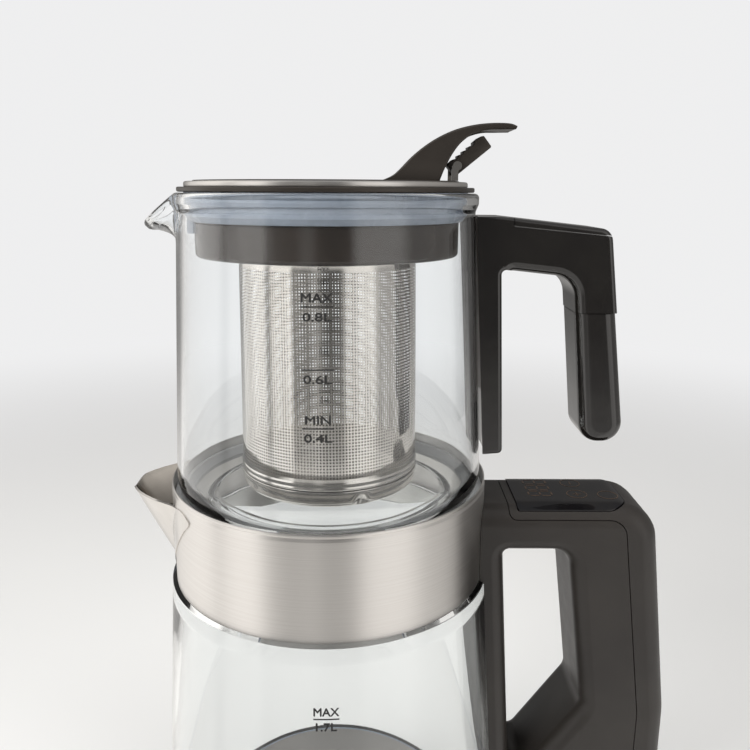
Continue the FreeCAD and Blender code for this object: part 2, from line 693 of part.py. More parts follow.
def kettleHandle():
    heelZ = plateTopZ + handleHeelRise
    spineTopX = collarOuterTop + spineThick + 1.0
    spineLowX = kettleRadius(openingLowHeight) + spineThick
    whole = slab([(50, handleTopZ), (handleReachTop, handleTopZ, handleCorner),
                  (handleReachMid, handleMidHeight, 60),
                  (handleReachLow, handleLowHeight, handleCorner), (handleHeelX, heelZ, 4),
                  (50, heelZ)], handleHalfWidth)
    whole = roundRims(whole, handleHalfWidth, handleOuterRound)
    gap = handleHalfWidth + 1
    opening = [(spineTopX, armBottomZ, 2.5), (gripInnerTop, armBottomZ, openingCorner),
               (gripInnerLow, gripLowHeight, openingCorner),
               (spineLowX, openingLowHeight, 4)]
    hole = slab(opening, gap)
    whole = cut(whole, hole)
    whole = whole.makeFillet(handleInnerRound, openingRims(whole, handleHalfWidth))
    body = cut(whole, bodyEnvelope(bondGap))

    seamZ = handleTopZ - coverThick
    coverTool = slab([(coverStart, handleTopZ + 10), (coverStart, seamZ, 3),
                      (coverStripTop, seamZ, 7), (coverStripLow, handleMidHeight),
                      (coverStripLow, handleLowHeight + 24), (handleReachLow + 20,
                                                              handleLowHeight + 10),
                      (handleReachLow + 20, handleTopZ + 10)], gap)
    lensZ = handleTopZ + lensProud - lensThick
    lensShape = lens(lensZ, lensThick, 0)
    pocket = lens(lensZ, lensThick + 20, bondGap)
    windowStart = lensStart + windowMargin
    windowEnd = lensEnd - windowMargin
    window = block(windowStart, windowEnd, -windowHalfWidth, windowHalfWidth,
                   seamZ - 1, lensZ + 1)
    boardTop = seamZ - boardDrop
    boardLow = boardTop - boardThick
    cavityTop = block(windowStart, windowEnd, -boardHalfWidth - bondGap,
                      boardHalfWidth + bondGap, boardLow, seamZ)
    cavityLow = block(windowStart, windowEnd, -boardHalfWidth + 2, boardHalfWidth - 2,
                      armBottomZ + cavityFloor, seamZ)
    ribbonTopZ = armBottomZ + cavityFloor + 2.5
    heelEnd = plateTopZ - 5
    path = ribbonRun(ribbonTopZ + 0.5, heelEnd, bondGap)
    passage = block(ribbonX(ribbonTopZ), windowStart + 1, -ribbonHalfWidth - bondGap,
                    ribbonHalfWidth + bondGap, armBottomZ + cavityFloor, ribbonTopZ + 0.5)
    parts["handle_cover"] = cut(body.common(coverTool), pocket, window, cavityTop, cavityLow)
    parts["handle_shell"] = cut(body, coverTool, pocket, cavityTop, cavityLow, path, passage)
    parts["touch_panel"] = lensShape

    parts["control_board"] = block(windowStart + bondGap, windowEnd - bondGap,
                                   -boardHalfWidth, boardHalfWidth, boardLow, boardTop)
    displayStart = lensStart + displayInset
    parts["display_module"] = block(displayStart, firstPadX - padRadius - displayGap,
                                    -displayHalfWidth, displayHalfWidth, boardTop, lensZ)
    pads = [cut(rod(padRadius, boardTop, lensZ, x),
                rod(padRadius - padWall, boardTop - 1, lensZ + 1, x))
            for x in (firstPadX, firstPadX + padStep)]
    parts["touch_contacts"] = Part.makeCompound(pads)
    strip = ribbonRun(ribbonTopZ, heelZ, 0)
    lead = block(ribbonX(ribbonTopZ), windowStart + 6, -ribbonHalfWidth, ribbonHalfWidth,
                 ribbonTopZ - ribbonThick, ribbonTopZ)
    riser = block(windowStart + 5, windowStart + 6, -ribbonHalfWidth, ribbonHalfWidth,
                  ribbonTopZ - ribbonThick, boardLow)
    parts["control_ribbon"] = fuse(strip, lead, riser)


def ribbonX(z):
    """The side of the flat wiring that faces the glass, inside the handle's spine."""
    return max(kettleRadius(z), collarOuterBottom) + ribbonDepth


def ribbonRun(top, foot, grow):
    """The upright run of the flat wiring, which follows the collar and then the glass."""
    bend = plateTopZ + visibleGlass
    heights = [top, bend, foot]
    inner = [(ribbonX(z) - grow, z) for z in heights]
    outer = [(ribbonX(z) + ribbonThick + grow, z) for z in reversed(heights)]
    return slab(inner + outer, ribbonHalfWidth + grow)


def openingRims(shape, halfWidth):
    """The side edges of the finger opening, apart from the outer outline's."""
    found = []
    for y in (-halfWidth, halfWidth):
        for edge in rimEdges(shape, y):
            middle = edge.valueAt((edge.FirstParameter + edge.LastParameter) / 2)
            if nearOpening(middle.x, middle.z):
                found.append(edge)
    return found


def nearOpening(x, z):
    low = openingLowHeight - 2
    return low < z < armBottomZ + 2 and x < gripInnerLow + 2 and x > collarOuterTop + 2


def lens(z, thick, grow):
    """The touch panel: square at the pot's side, rounded corners at the handle's end."""
    x0 = lensStart - grow
    x1 = lensEnd + grow
    half = lensHalfWidth + grow
    wire = outline([(x0, -half, 1.5), (x1, -half, lensCorner), (x1, half, lensCorner),
                    (x0, half, 1.5)])
    wire.rotate(Vector(), Vector(1, 0, 0), -90)
    solid = Part.Face(wire).extrude(Vector(0, 0, thick))
    solid.translate(Vector(0, 0, z))
    if grow:
        return solid
    top = [e for e in solid.Edges if e.BoundBox.ZMin > z + thick - 1e-4]
    return solid.makeChamfer(lensBevel, top)


def teapotGlass():
    beadZ = potTopZ - potBeadHeight
    floorZ = potBottomZ + potFloor
    innerCorner = potCorner - potWall
    outer = turned([(0, potBottomZ), (potFootRadius, potBottomZ, potCorner),
                    (potRadius(beadZ - 3), beadZ - 3, 3), (potBeadRadius, beadZ, 1.4),
                    (potBeadRadius, potTopZ, 1.7), (0, potTopZ)])
    hollow = turned([(0, floorZ), (potFootRadius - potWall, floorZ, innerCorner),
                     (potMouthRadius, beadZ - 6, 20), (potMouthRadius, potTopZ + 1),
                     (0, potTopZ + 1)])
    solid = cut(fuse(outer, potSpout(0)), hollow, potSpout(potSpoutWall))
    parts["teapot_glass"] = solid


def potSpout(inset):
    """The pulled lip as a loft of rounded sections; inset gives its channel."""
    rows = []
    rootX = potMouthRadius - 6
    for share in (0.0, 0.45, 0.8, 1.0):
        x = rootX + (potSpoutReach - rootX) * share
        half = potSpoutRootHalf + (potSpoutTipHalf - potSpoutRootHalf) * share
        top = potTopZ - 0.4 - potSpoutTopDrop * share ** 2.2
        depth = potSpoutRootDepth + (potSpoutTipDepth - potSpoutRootDepth) * share ** 0.75
        rows.append(spoutRow(x, half, top, depth, inset))
    return Part.makeLoft(rows, True, False)


def spoutRow(x, half, top, depth, inset):
    """One cross-section: two sides drawn in to a round keel, open upwards when inset."""
    lift = 14 if inset else 0
    half = half - inset
    low = top - depth + inset
    if inset:
        x = x + (0.6 if x > potBeadRadius else 0)
    edges = [
        Part.Arc(Vector(-x, -half, low + (top - low) * 0.55), Vector(-x, 0, low),
                 Vector(-x, half, low + (top - low) * 0.55)).toShape(),
        Part.LineSegment(Vector(-x, half, low + (top - low) * 0.55),
                         Vector(-x, half, top + lift)).toShape(),
        Part.LineSegment(Vector(-x, half, top + lift), Vector(-x, -half, top + lift)).toShape(),
        Part.LineSegment(Vector(-x, -half, top + lift),
                         Vector(-x, -half, low + (top - low) * 0.55)).toShape()]
    return Part.Wire(edges)


def teapotHandle():
    topZ = potTopZ - potHandleTopDrop
    endZ = potTopZ - potHandleEndDrop
    tailZ = potBottomZ + potHandleTail
    stripZ = potBottomZ + potStripTail
    underZ = topZ - potArmThick
    seamZ = potTopZ - potSeamDrop
    whole = slab([(potHandleStart, topZ), (potStripTop, topZ), (potHandleReachTop, endZ, 5),
                  (potHandleReachLow, tailZ, potGripEnd), (potGripInnerLow, tailZ, potGripEnd),
                  (potGripInnerTop, underZ - 3, 9), (potStripTop, underZ, 1.5),
                  (potStripLow, stripZ, 2), (potHandleStart, stripZ)], potHandleHalfWidth)
    fronts = [e for y in (-potHandleHalfWidth, potHandleHalfWidth) for e in rimEdges(whole, y)
              if middleX(e) > potStripLow + 1]
    whole = whole.makeFillet(potInnerRound, fronts)
    whole = cut(whole, potSolid(bondPadThick))
    capTool = slab([(potCapStart, topZ + 9), (potCapStart, topZ - potCapThick),
                    (potHandleReachLow + 9, endZ - potCapThick - 0.4),
                    (potHandleReachLow + 9, topZ + 9)], potHandleHalfWidth + 1)
    lowTool = block(potGripInnerTop - 9, potHandleReachLow + 9, -20, 20, tailZ - 9, seamZ)
    screwX = (potGripInnerTop + potHandleReachTop) / 2 + 2
    screwTop = endZ - potCapThick - 5
    well = fuse(rod(screwRadius + 0.1, seamZ - 14, screwTop + 9, screwX),
                rod(screwHeadRadius + 0.3, screwTop, topZ + 9, screwX))
    parts["teapot_handle_cap"] = whole.common(capTool)
    parts["teapot_handle"] = cut(whole, capTool, lowTool, well)
    parts["teapot_grip"] = cut(whole.common(lowTool),
                               rod(screwRadius - 0.05, seamZ - 13, seamZ + 1, screwX))
    parts["teapot_handle_screw"] = cut(screw(screwX, 0, screwTop, screwTop - seamZ + 12),
                                       parts["teapot_grip"])
    pad = slab([(potHandleStart, topZ - 1), (potStripTop - 1, topZ - 1),
                (potStripLow - 1, stripZ + 1), (potHandleStart, stripZ + 1)],
               potHandleHalfWidth - 1)
    band = cut(potSolid(bondPadThick - bondPadGap), potSolid(bondPadGap))
    parts["teapot_handle_bond"] = pad.common(band)


def middleX(edge):
    return edge.valueAt((edge.FirstParameter + edge.LastParameter) / 2).x


def lid():
    wallInner = lidWallRadius - lidWallThick
    base = turned([(0, lidRingZ), (wallInner, lidRingZ), (wallInner, lidWallBottomZ),
                   (lidWallRadius, lidWallBottomZ), (lidWallRadius, lidRingZ),
                   (lidRingRadius, lidRingZ, 0.6), (lidRingRadius, lidRingTopZ, 0.6),
                   (0, lidRingTopZ)])
    parts["lid_base"] = base
    trimInner = trimRadius - trimWidth
    parts["lid_trim_ring"] = turned([(trimInner, lidRingTopZ), (trimRadius, lidRingTopZ),
                                     (trimRadius, trimTopZ, 0.9), (trimInner, trimTopZ)])
    parts["lid_top"] = turned([(0, lidRingTopZ), (trimInner - 0.1, lidRingTopZ),
                               (trimInner - 0.1, lidTopZ, 0.8), (0, lidTopZ)])

    sealOuter = potMouthRadius - sideGap
    sealTop = lidRingZ
    sealLow = lidRingZ - sealDepth
    sealInner = lidWallRadius + 0.1
    seal = turned([(sealInner, sealLow), (sealOuter - 1.4, sealLow, 0.6),
                   (sealOuter, sealLow + sealLip), (sealOuter, sealLow + sealLip + 1.6),
                   (sealOuter - 1.2, sealLow + sealLip + 2.6), (sealOuter - 1.2, sealTop - 2.8),
                   (sealOuter, sealTop - 2), (sealOuter, sealTop - 0.4), (sealOuter, sealTop),
                   (sealInner, sealTop)])
    apron = tube(sealOuter - 0.2, skirtRadius + 0.4, sealLow - sealApronDepth, sealLow + 1)
    apron = apron.common(block(-60, -40, -sealApronHalf, sealApronHalf,
                               sealLow - sealApronDepth, sealLow + 1))
    hole = block(-60, -50, -pourHoleHalf, pourHoleHalf, sealLow - sealApronDepth + 1.2,
                 sealLow - 0.4)
    parts["lid_seal"] = cut(fuse(seal, apron), hole)

    neckOuter = wallInner - 0.1
    neckInner = neckOuter - skirtWall
    holeRadius = basketTopRadius + basketNeckWall - basketWall + sideGap
    skirt = turned([(holeRadius, skirtBottomZ, 0.4), (skirtRadius, skirtBottomZ, 1.6),
                    (skirtRadius, lidWallBottomZ - 0.1), (neckOuter, lidWallBottomZ - 0.1),
                    (neckOuter, lidRingZ), (neckInner, lidRingZ), (neckInner, skirtFloorZ, 1.2),
                    (holeRadius, skirtFloorZ, 0.4)])
    gate = lugRing(holeRadius + lugReach, lugHalfAngle + 1.5, skirtBottomZ - 1,
                   skirtFloorZ + 1)
    for slot in around(gate, lugCount, basketTwist):
        skirt = cut(skirt, slot)
    parts["lid_skirt"] = skirt


def lugRing(reach, halfAngle, z0, z1):
    """A wedge of a disc, centred on +X."""
    wedge = Part.makeCylinder(reach, z1 - z0, Vector(0, 0, z0), Vector(0, 0, 1),
                              2 * halfAngle)
    wedge.rotate(Vector(), Vector(0, 0, 1), -halfAngle)
    return wedge


def teaBasket():
    neckRadius = basketTopRadius + basketNeckWall - basketWall
    lugZ = skirtFloorZ + sideGap
    capZ = potBottomZ + potFloor + basketLift
    wallLow = capZ + basketCapHeight + restGap
    neckLow = skirtBottomZ - 1.5
    wall = turned([(basketFootRadius - basketWall, wallLow), (basketFootRadius, wallLow),
                   (basketTopRadius, neckLow), (neckRadius, neckLow, 0.5),
                   (neckRadius, lugZ + lugThick, 0.4),
                   (basketTopRadius - basketWall, lugZ + lugThick),
                   (basketTopRadius - basketWall, neckLow)])
    lug = lugRing(neckRadius - 0.2 + lugReach, lugHalfAngle, lugZ, lugZ + lugThick)
    lug = cut(lug, rod(neckRadius - 0.5, lugZ - 1, lugZ + lugThick + 1))
    parts["tea_basket"] = fuse(wall, *around(lug, lugCount))
    spigot = basketFootRadius - basketWall - sideGap
    capTop = capZ + basketCapHeight
    cap = turned([(0, capZ + basketCapWall), (basketFootRadius - 4, capZ + basketCapWall, 3),
                  (basketFootRadius - 4, capTop + basketSpigot), (spigot, capTop + basketSpigot),
                  (spigot, capTop), (basketFootRadius + 0.3, capTop, 0.4),
                  (basketFootRadius - 0.4, capZ, 2.5), (0, capZ)])
    dimple = Part.makeSphere(4.0, Vector(0, -basketFootRadius - 1.6, capZ + 1.0))
    dimple.rotate(Vector(), Vector(0, 0, 1), 23)
    parts["tea_basket_cap"] = cut(cap, dimple)


def leverSolid(grow, halfWidth, angle=0):
    """The release bar, turned about its pin; grow widens it for its pocket."""
    back = 2.4 + grow
    front = leverLength - 2.4 + grow
    half = leverThick / 2 + grow
    bar = slab([(-back, -half, 1.0), (front, -half, 1.0), (front, half, 1.6),
                (-back, half, 1.6)], halfWidth + grow)
    bar.rotate(Vector(), Vector(0, -1, 0), leverAngle + angle)
    bar.translate(Vector(leverPivotX, 0, lidTopZ + leverPivotRise))
    return bar


def finAndLever():
    top = lidTopZ + finRise
    span = finEnd - finStart
    upper = Part.BSplineCurve()
    upper.interpolate([Vector(finStart, 0, lidTopZ), Vector(finStart + span * 0.2, 0,
                                                            lidTopZ + finRise * 0.37),
                       Vector(finStart + span * 0.4, 0, lidTopZ + finRise * 0.75),
                       Vector(finStart + span * 0.63, 0, lidTopZ + finRise * 0.96),
                       Vector(finStart + span * 0.8, 0, top), Vector(finEnd, 0, top - 0.6)])
    lower = Part.BSplineCurve()
    lower.interpolate([Vector(finEnd, 0, top - 2.4), Vector(finEnd - span * 0.14, 0, top - 2.7),
                       Vector(finEnd - span * 0.27, 0, top - 2.6),
                       Vector(finEnd - span * 0.38, 0, top - 5.6),
                       Vector(finHeelX + 4.6, 0, lidTopZ + finRise * 0.4),
                       Vector(finHeelX, 0, lidTopZ)])
    edges = [upper.toShape(),
             Part.Arc(Vector(finEnd, 0, top - 0.6), Vector(finEnd + 0.9, 0, top - 1.5),
                      Vector(finEnd, 0, top - 2.4)).toShape(),
             lower.toShape(),
             Part.LineSegment(Vector(finHeelX, 0, lidTopZ),
                              Vector(finStart, 0, lidTopZ)).toShape()]
    face = Part.Face(Part.Wire(edges))
    face.translate(Vector(0, -finHalfWidth, 0))
    fin = face.extrude(Vector(0, 2 * finHalfWidth, 0))
    for angle in (0, leverTravel / 2, leverTravel):
        fin = cut(fin, leverSolid(leverPocketSkin, leverHalfWidth, angle))
    pivotZ = lidTopZ + leverPivotRise
    postGap = leverHalfWidth + 0.3
    posts = []
    for side in (-1, 1):
        y0 = side * postGap if side > 0 else side * (postGap + postWidth)
        post = fuse(
            block(leverPivotX - 2.0, leverPivotX + 0.4, y0, y0 + postWidth, lidTopZ, pivotZ),
            Part.makeCylinder(postHeadRadius, postWidth, Vector(leverPivotX, y0, pivotZ),
                              Vector(0, 1, 0)))
        posts.append(post)
    clearPosts = [block(leverPivotX - 2.3, leverPivotX + 2.2, -postGap - postWidth - 0.2,
                        postGap + postWidth + 0.2, lidTopZ - 1, pivotZ + 2.2)]
    parts["lid_fin"] = cut(fin, *clearPosts)
    pinHole = Part.makeCylinder(leverPinRadius, 60, Vector(leverPivotX, -30, pivotZ),
                                Vector(0, 1, 0))
    parts["lever_posts"] = Part.makeCompound([cut(post, pinHole) for post in posts])
    parts["lever_pin"] = Part.makeCylinder(leverPinRadius, 2 * (postGap + postWidth),
                                           Vector(leverPivotX, -postGap - postWidth, pivotZ),
                                           Vector(0, 1, 0))
    bore = Part.makeCylinder(leverPinRadius + pinGap, 60, Vector(leverPivotX, -30, pivotZ),
                             Vector(0, 1, 0))
    springSlot = block(leverPivotX - 6, leverPivotX + 4, -1.8, 1.8, lidTopZ - 1,
                       pivotZ - leverPinRadius - 0.2)
    parts["release_lever"] = cut(leverSolid(0, leverHalfWidth), bore)
    parts["release_lever"] = cut(parts["release_lever"], springSlot)


powerBase()
kettleBottom()
kettleGlass()
collar()
kettleSpout()
kettleHandle()
teapotGlass()
teapotHandle()
lid()
teaBasket()
finAndLever()

for name, shape in parts.items():
    solids = shape.Solids
    volume = sum(solid.Volume for solid in solids)
    box = shape.BoundBox
    print(f"{name:22s} solids {len(solids)} valid {shape.isValid()} volume {volume:10.1f} "
          f"x {box.XMin:.1f} {box.XMax:.1f} y {box.YMin:.1f} {box.YMax:.1f} "
          f"z {box.ZMin:.1f} {box.ZMax:.1f}")
    shape.exportStep(f"parts/{name}.step")
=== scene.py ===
import bmesh
import bpy
import math
from mathutils import Matrix, Vector


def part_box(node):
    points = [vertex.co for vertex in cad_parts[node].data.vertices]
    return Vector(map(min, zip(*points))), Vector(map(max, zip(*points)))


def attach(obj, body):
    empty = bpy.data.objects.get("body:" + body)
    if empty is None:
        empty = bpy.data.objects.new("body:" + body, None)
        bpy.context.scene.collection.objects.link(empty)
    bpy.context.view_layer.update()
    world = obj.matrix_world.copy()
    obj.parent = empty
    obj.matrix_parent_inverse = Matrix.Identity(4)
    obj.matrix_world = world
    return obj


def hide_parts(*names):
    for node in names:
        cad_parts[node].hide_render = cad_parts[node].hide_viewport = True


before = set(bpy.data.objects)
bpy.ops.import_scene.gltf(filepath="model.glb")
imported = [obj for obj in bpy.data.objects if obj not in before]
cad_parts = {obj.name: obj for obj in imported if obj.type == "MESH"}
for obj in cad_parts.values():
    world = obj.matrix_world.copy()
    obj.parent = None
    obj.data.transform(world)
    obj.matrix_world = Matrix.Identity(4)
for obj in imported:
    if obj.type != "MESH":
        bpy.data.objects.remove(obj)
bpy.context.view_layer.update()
print("frame loaded:", len(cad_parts), "nodes")

# Shapes are drawn in millimetres and turned into metres in addPiece
mm = 0.001


def boxOf(node):
    low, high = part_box(node)
    return Vector(low) / mm, Vector(high) / mm


# Materials


def startMaterial(name):
    mat = bpy.data.materials.new(name)
    mat.use_nodes = True
    return mat, mat.node_tree, mat.node_tree.nodes["Principled BSDF"]


def setSockets(shader, values):
    for socket, value in values.items():
        shader.inputs[socket].default_value = value


# A new shader node; an input is given a number, a colour, or another node's output to link to
def addNode(tree, kind, inputs=(), **settings):
    node = tree.nodes.new("ShaderNode" + kind)
    for name, value in settings.items():
        setattr(node, name, value)
    for socket, value in (inputs.items() if isinstance(inputs, dict) else enumerate(inputs)):
        if isinstance(value, bpy.types.NodeSocket):
            tree.links.new(value, node.inputs[socket])
        else:
            node.inputs[socket].default_value = value
    return node


# Noise on Object coordinates; stretch is the number of waves per metre along x, y and z
def noiseField(tree, stretch, detail=3.0, roughness=0.55):
    coords = addNode(tree, "TexCoord")
    place = addNode(tree, "Mapping", {"Vector": coords.outputs["Object"], "Scale": stretch})
    noise = addNode(tree, "TexNoise", {"Vector": place.outputs["Vector"], "Scale": 1.0,
                                       "Detail": detail, "Roughness": roughness})
    return noise.outputs["Fac"]


# Maps the values between fromLow and fromHigh onto low to high
def spread(tree, field, low, high, fromLow=0.3, fromHigh=0.7, ease="LINEAR"):
    node = addNode(tree, "MapRange", {"Value": field, "From Min": fromLow, "From Max": fromHigh,
                                      "To Min": low, "To Max": high}, interpolation_type=ease)
    return node.outputs["Result"]


def blendColours(tree, field, colourA, colourB):
    ramp = addNode(tree, "ValToRGB", {"Fac": field})
    for stop, place, colour in zip(ramp.color_ramp.elements, (0.32, 0.68), (colourA, colourB)):
        stop.position = place
        stop.color = (*colour, 1)
    return ramp.outputs["Color"]


# Mixes two shader nodes by a share and shows the mix on the surface
def showMix(tree, share, first, second):
    mix = addNode(tree, "MixShader", [share, first.outputs[0], second.outputs[0]])
    tree.links.new(mix.outputs["Shader"], tree.nodes["Material Output"].inputs["Surface"])
    return mix


def addBump(tree, shader, field, height, strength=1.0):
    bump = addNode(tree, "Bump", {"Strength": strength, "Distance": height, "Height": field})
    if shader.inputs["Normal"].links:
        tree.links.new(shader.inputs["Normal"].links[0].from_socket, bump.inputs["Normal"])
    tree.links.new(bump.outputs["Normal"], shader.inputs["Normal"])


# A finish with two close colours, a roughness range, and one or more bumps (stretch, height)
def makeFinish(name, colourA, colourB, roughness, patch=(40, 40, 40), bumps=(), sockets=None):
    mat, tree, shader = startMaterial(name)
    field = noiseField(tree, patch)
    tree.links.new(blendColours(tree, field, colourA, colourB), shader.inputs["Base Color"])
    wear = noiseField(tree, tuple(3.1 * s for s in patch), 4.0)
    tree.links.new(spread(tree, wear, *roughness), shader.inputs["Roughness"])
    for stretch, height in bumps:
        addBump(tree, shader, noiseField(tree, stretch, 2.0), height)
    setSockets(shader, sockets or {})
    return mat


# Clear glass: lamps reach through it, so what stands inside is lit
def makeGlass(name, tint, wave, lampTint):
    mat, tree, shader = startMaterial(name)
    setSockets(shader, {"Base Color": (*tint, 1), "Transmission Weight": 1.0, "IOR": 1.47})
    smear = noiseField(tree, (55, 55, 20), 4.0)
    tree.links.new(spread(tree, smear, 0.0, 0.015, 0.45, 0.8), shader.inputs["Roughness"])
    addBump(tree, shader, noiseField(tree, (22, 22, 6), 1.5), wave)
    lampRay = addNode(tree, "LightPath").outputs["Is Shadow Ray"]
    showMix(tree, lampRay, shader, addNode(tree, "BsdfTransparent", {"Color": (*lampTint, 1)}))
    return mat


# Milky soft plastic: part of the light passes through its thin walls
def makeMilky(name, colourA, colourB, roughness, through, patch=(60, 60, 60)):
    mat = makeFinish(name, colourA, colourB, roughness, patch, [((260, 260, 260), 0.00002)])
    tree = mat.node_tree
    glow = addNode(tree, "BsdfTranslucent", {"Color": (*colourB, 1)})
    showMix(tree, through, tree.nodes["Principled BSDF"], glow)
    return mat


# Brushed metal: fine streaks run round the Z axis
def makeBrushed(name, colourA, colourB, roughness, depth, anisotropy):
    mat, tree, shader = startMaterial(name)
    setSockets(shader, {"Metallic": 1.0, "Anisotropic": anisotropy, "Anisotropic Rotation": 0.25})
    streaks = noiseField(tree, (16, 16, 2600), 4.0, 0.65)
    tree.links.new(blendColours(tree, streaks, colourA, colourB), shader.inputs["Base Color"])
    tree.links.new(spread(tree, streaks, *roughness), shader.inputs["Roughness"])
    addBump(tree, shader, streaks, depth)
    tangent = addNode(tree, "Tangent", direction_type="RADIAL", axis="Z")
    tree.links.new(tangent.outputs["Tangent"], shader.inputs["Tangent"])
    return mat


finishes = {
    "kettle_glass": makeGlass("kettleGlass", (0.97, 0.985, 0.985), 0.0005, (0.95, 0.96, 0.96)),
    "teapot_glass": makeGlass("teapotGlass", (0.975, 0.988, 0.992), 0.0005, (0.95, 0.96, 0.965)),
    "brushed_steel": makeBrushed("brushedSteel", (0.70, 0.675, 0.645), (0.80, 0.78, 0.75),
                                 (0.34, 0.46), 0.000006, 0.85),
    "polished_steel": makeFinish("polishedSteel", (0.60, 0.575, 0.54), (0.68, 0.655, 0.62),
                                 (0.07, 0.16), (60, 60, 60),
                                 [((45, 45, 45), 0.0003), ((900, 900, 900), 0.000004)],
                                 {"Metallic": 1.0}),
    "basket_steel": makeFinish("basketSteel", (0.66, 0.63, 0.59), (0.76, 0.735, 0.70),
                               (0.05, 0.11), (70, 70, 30), [((13, 13, 3), 0.0007)],
                               {"Metallic": 1.0}),
    "handle_plastic": makeFinish("handlePlastic", (0.019, 0.0165, 0.015), (0.025, 0.022, 0.0195),
                                 (0.38, 0.46), (30, 30, 30),
                                 [((2200, 2200, 2200), 0.00003), ((300, 300, 300), 0.00001)],
                                 {"Specular IOR Level": 0.4}),
    "gloss_black": makeFinish("glossBlack", (0.006, 0.005, 0.005), (0.010, 0.009, 0.008),
                              (0.05, 0.12), (50, 50, 50),
                              [((60, 60, 60), 0.00012), ((1500, 1500, 1500), 0.000003)],
                              {"Specular IOR Level": 0.8}),
    "panel_black": makeFinish("panelBlack", (0.004, 0.004, 0.005), (0.008, 0.007, 0.007),
                              (0.03, 0.08), (80, 80, 80), [((40, 40, 40), 0.00005)],
                              {"Specular IOR Level": 0.35}),
    "lid_plastic": makeFinish("lidBronze", (0.034, 0.029, 0.025), (0.050, 0.043, 0.037),
                              (0.32, 0.42), (35, 35, 35),
                              [((1800, 1800, 1800), 0.000012)], {"Metallic": 0.55}),
    "inner_plastic": makeFinish("innerPlastic", (0.060, 0.050, 0.044), (0.080, 0.066, 0.058),
                                (0.30, 0.42), (40, 40, 40), [((1200, 1200, 1200), 0.00001)]),
    "clear_silicone": makeMilky("clearSilicone", (0.41, 0.46, 0.54), (0.51, 0.57, 0.66),
                                (0.20, 0.34), 0.35),
    "foot_rubber": makeFinish("footRubber", (0.020, 0.020, 0.021), (0.032, 0.032, 0.033),
                              (0.65, 0.85), (90, 90, 90), [((1600, 1600, 1600), 0.00004)]),
    "contact_brass": makeFinish("contactBrass", (0.62, 0.43, 0.16), (0.74, 0.55, 0.25),
                                (0.18, 0.32), (90, 90, 90), [((400, 400, 400), 0.00001)],
                                {"Metallic": 1.0}),
    "screw_steel": makeFinish("screwSteel", (0.42, 0.42, 0.42), (0.55, 0.55, 0.54),
                              (0.25, 0.40), (200, 200, 200), [((900, 900, 900), 0.00001)],
                              {"Metallic": 1.0}),
    "spreader_aluminium": makeFinish("spreaderAluminium", (0.62, 0.63, 0.64),
                                     (0.74, 0.75, 0.76), (0.35, 0.5), (120, 120, 120),
                                     [((700, 700, 700), 0.00002)], {"Metallic": 1.0}),
    "element_steel": makeFinish("elementSteel", (0.30, 0.27, 0.24), (0.42, 0.38, 0.34),
                                (0.35, 0.55), (90, 90, 90), [((600, 600, 600), 0.00002)],
                                {"Metallic": 1.0}),
    "board_green": makeFinish("boardGreen", (0.015, 0.085, 0.035), (0.025, 0.120, 0.050),
                              (0.35, 0.5), (150, 150, 150), [((900, 900, 40), 0.00002)]),
}

inkMaterial = makeFinish("markInk", (0.010, 0.010, 0.010), (0.018, 0.018, 0.018), (0.45, 0.6),
                         (300, 300, 300), [((2500, 2500, 2500), 0.000005)])
iconMaterial = makeFinish("iconInk", (0.045, 0.026, 0.016), (0.060, 0.036, 0.022), (0.3, 0.45),
                          (300, 300, 300), [((2500, 2500, 2500), 0.000005)])

skirtMaterial = makeFinish("skirtBrown", (0.022, 0.017, 0.014), (0.036, 0.028, 0.023),
                           (0.08, 0.20), (40, 40, 18), [((30, 30, 12), 0.0002)])
seatMaterial = makeMilky("seatSilicone", (0.46, 0.46, 0.46), (0.54, 0.54, 0.54), (0.25, 0.40), 0.4)

# CAD pieces keep their shape and take the finish of their slot
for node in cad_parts.values():
    for slot in node.material_slots:
        slotName = slot.material.name.split(".")[0]
        if slotName in finishes:
            slot.material = finishes[slotName]
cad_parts["lid_skirt"].material_slots[0].material = skirtMaterial
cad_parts["mouth_seat"].material_slots[0].material = seatMaterial
print("finishes made:", len(finishes))


# Building helpers


# Turns (x, z) or (x, z, radius) corners into points with arcs at the rounded ones
def roundedLine(corners, closed=True, steps=6):
    points = []
    count = len(corners)
    for i, corner in enumerate(corners):
        here = Vector(corner[:2])
        radius = corner[2] if len(corner) > 2 else 0
        if not radius or (not closed and i in (0, count - 1)):
            points.append(here)
            continue
        before = (Vector(corners[i - 1][:2]) - here).normalized()
        after = (Vector(corners[(i + 1) % count][:2]) - here).normalized()
        half = before.angle(after) / 2
        if half > math.radians(89):
            points.append(here)
            continue
        centre = here + (before + after).normalized() * radius / math.sin(half)
        start = here + before * radius / math.tan(half) - centre
        end = here + after * radius / math.tan(half) - centre
        turn = start.angle_signed(end)
        for k in range(steps + 1):
            points.append(centre + Matrix.Rotation(-turn * k / steps, 2) @ start)
    return points


# Splits the long runs of a line so that no step is over the given length
def splitLine(points, step, low, high):
    out = [points[0]]
    for a, b in zip(points, points[1:]):
        parts = 1
        if min(a.y, b.y) < high and max(a.y, b.y) > low:
            parts = max(1, round((b - a).length / step))
        out += [a.lerp(b, k / parts) for k in range(1, parts + 1)]
    return out


# A bmesh turned about Z from a line of (radius, z) points
def turnLine(points, closed=True, steps=192):
    bm = bmesh.new()
    verts = [bm.verts.new((p[0], 0, p[1])) for p in points]
    edges = [bm.edges.new(pair) for pair in zip(verts, verts[1:])]
    if closed:
        edges.append(bm.edges.new((verts[-1], verts[0])))
    bmesh.ops.spin(bm, geom=verts + edges, cent=(0, 0, 0), axis=(0, 0, 1), angle=math.tau,
                   steps=steps, use_merge=True)
    bmesh.ops.remove_doubles(bm, verts=bm.verts, dist=0.0005)
    bmesh.ops.recalc_face_normals(bm, faces=bm.faces)
    return bm


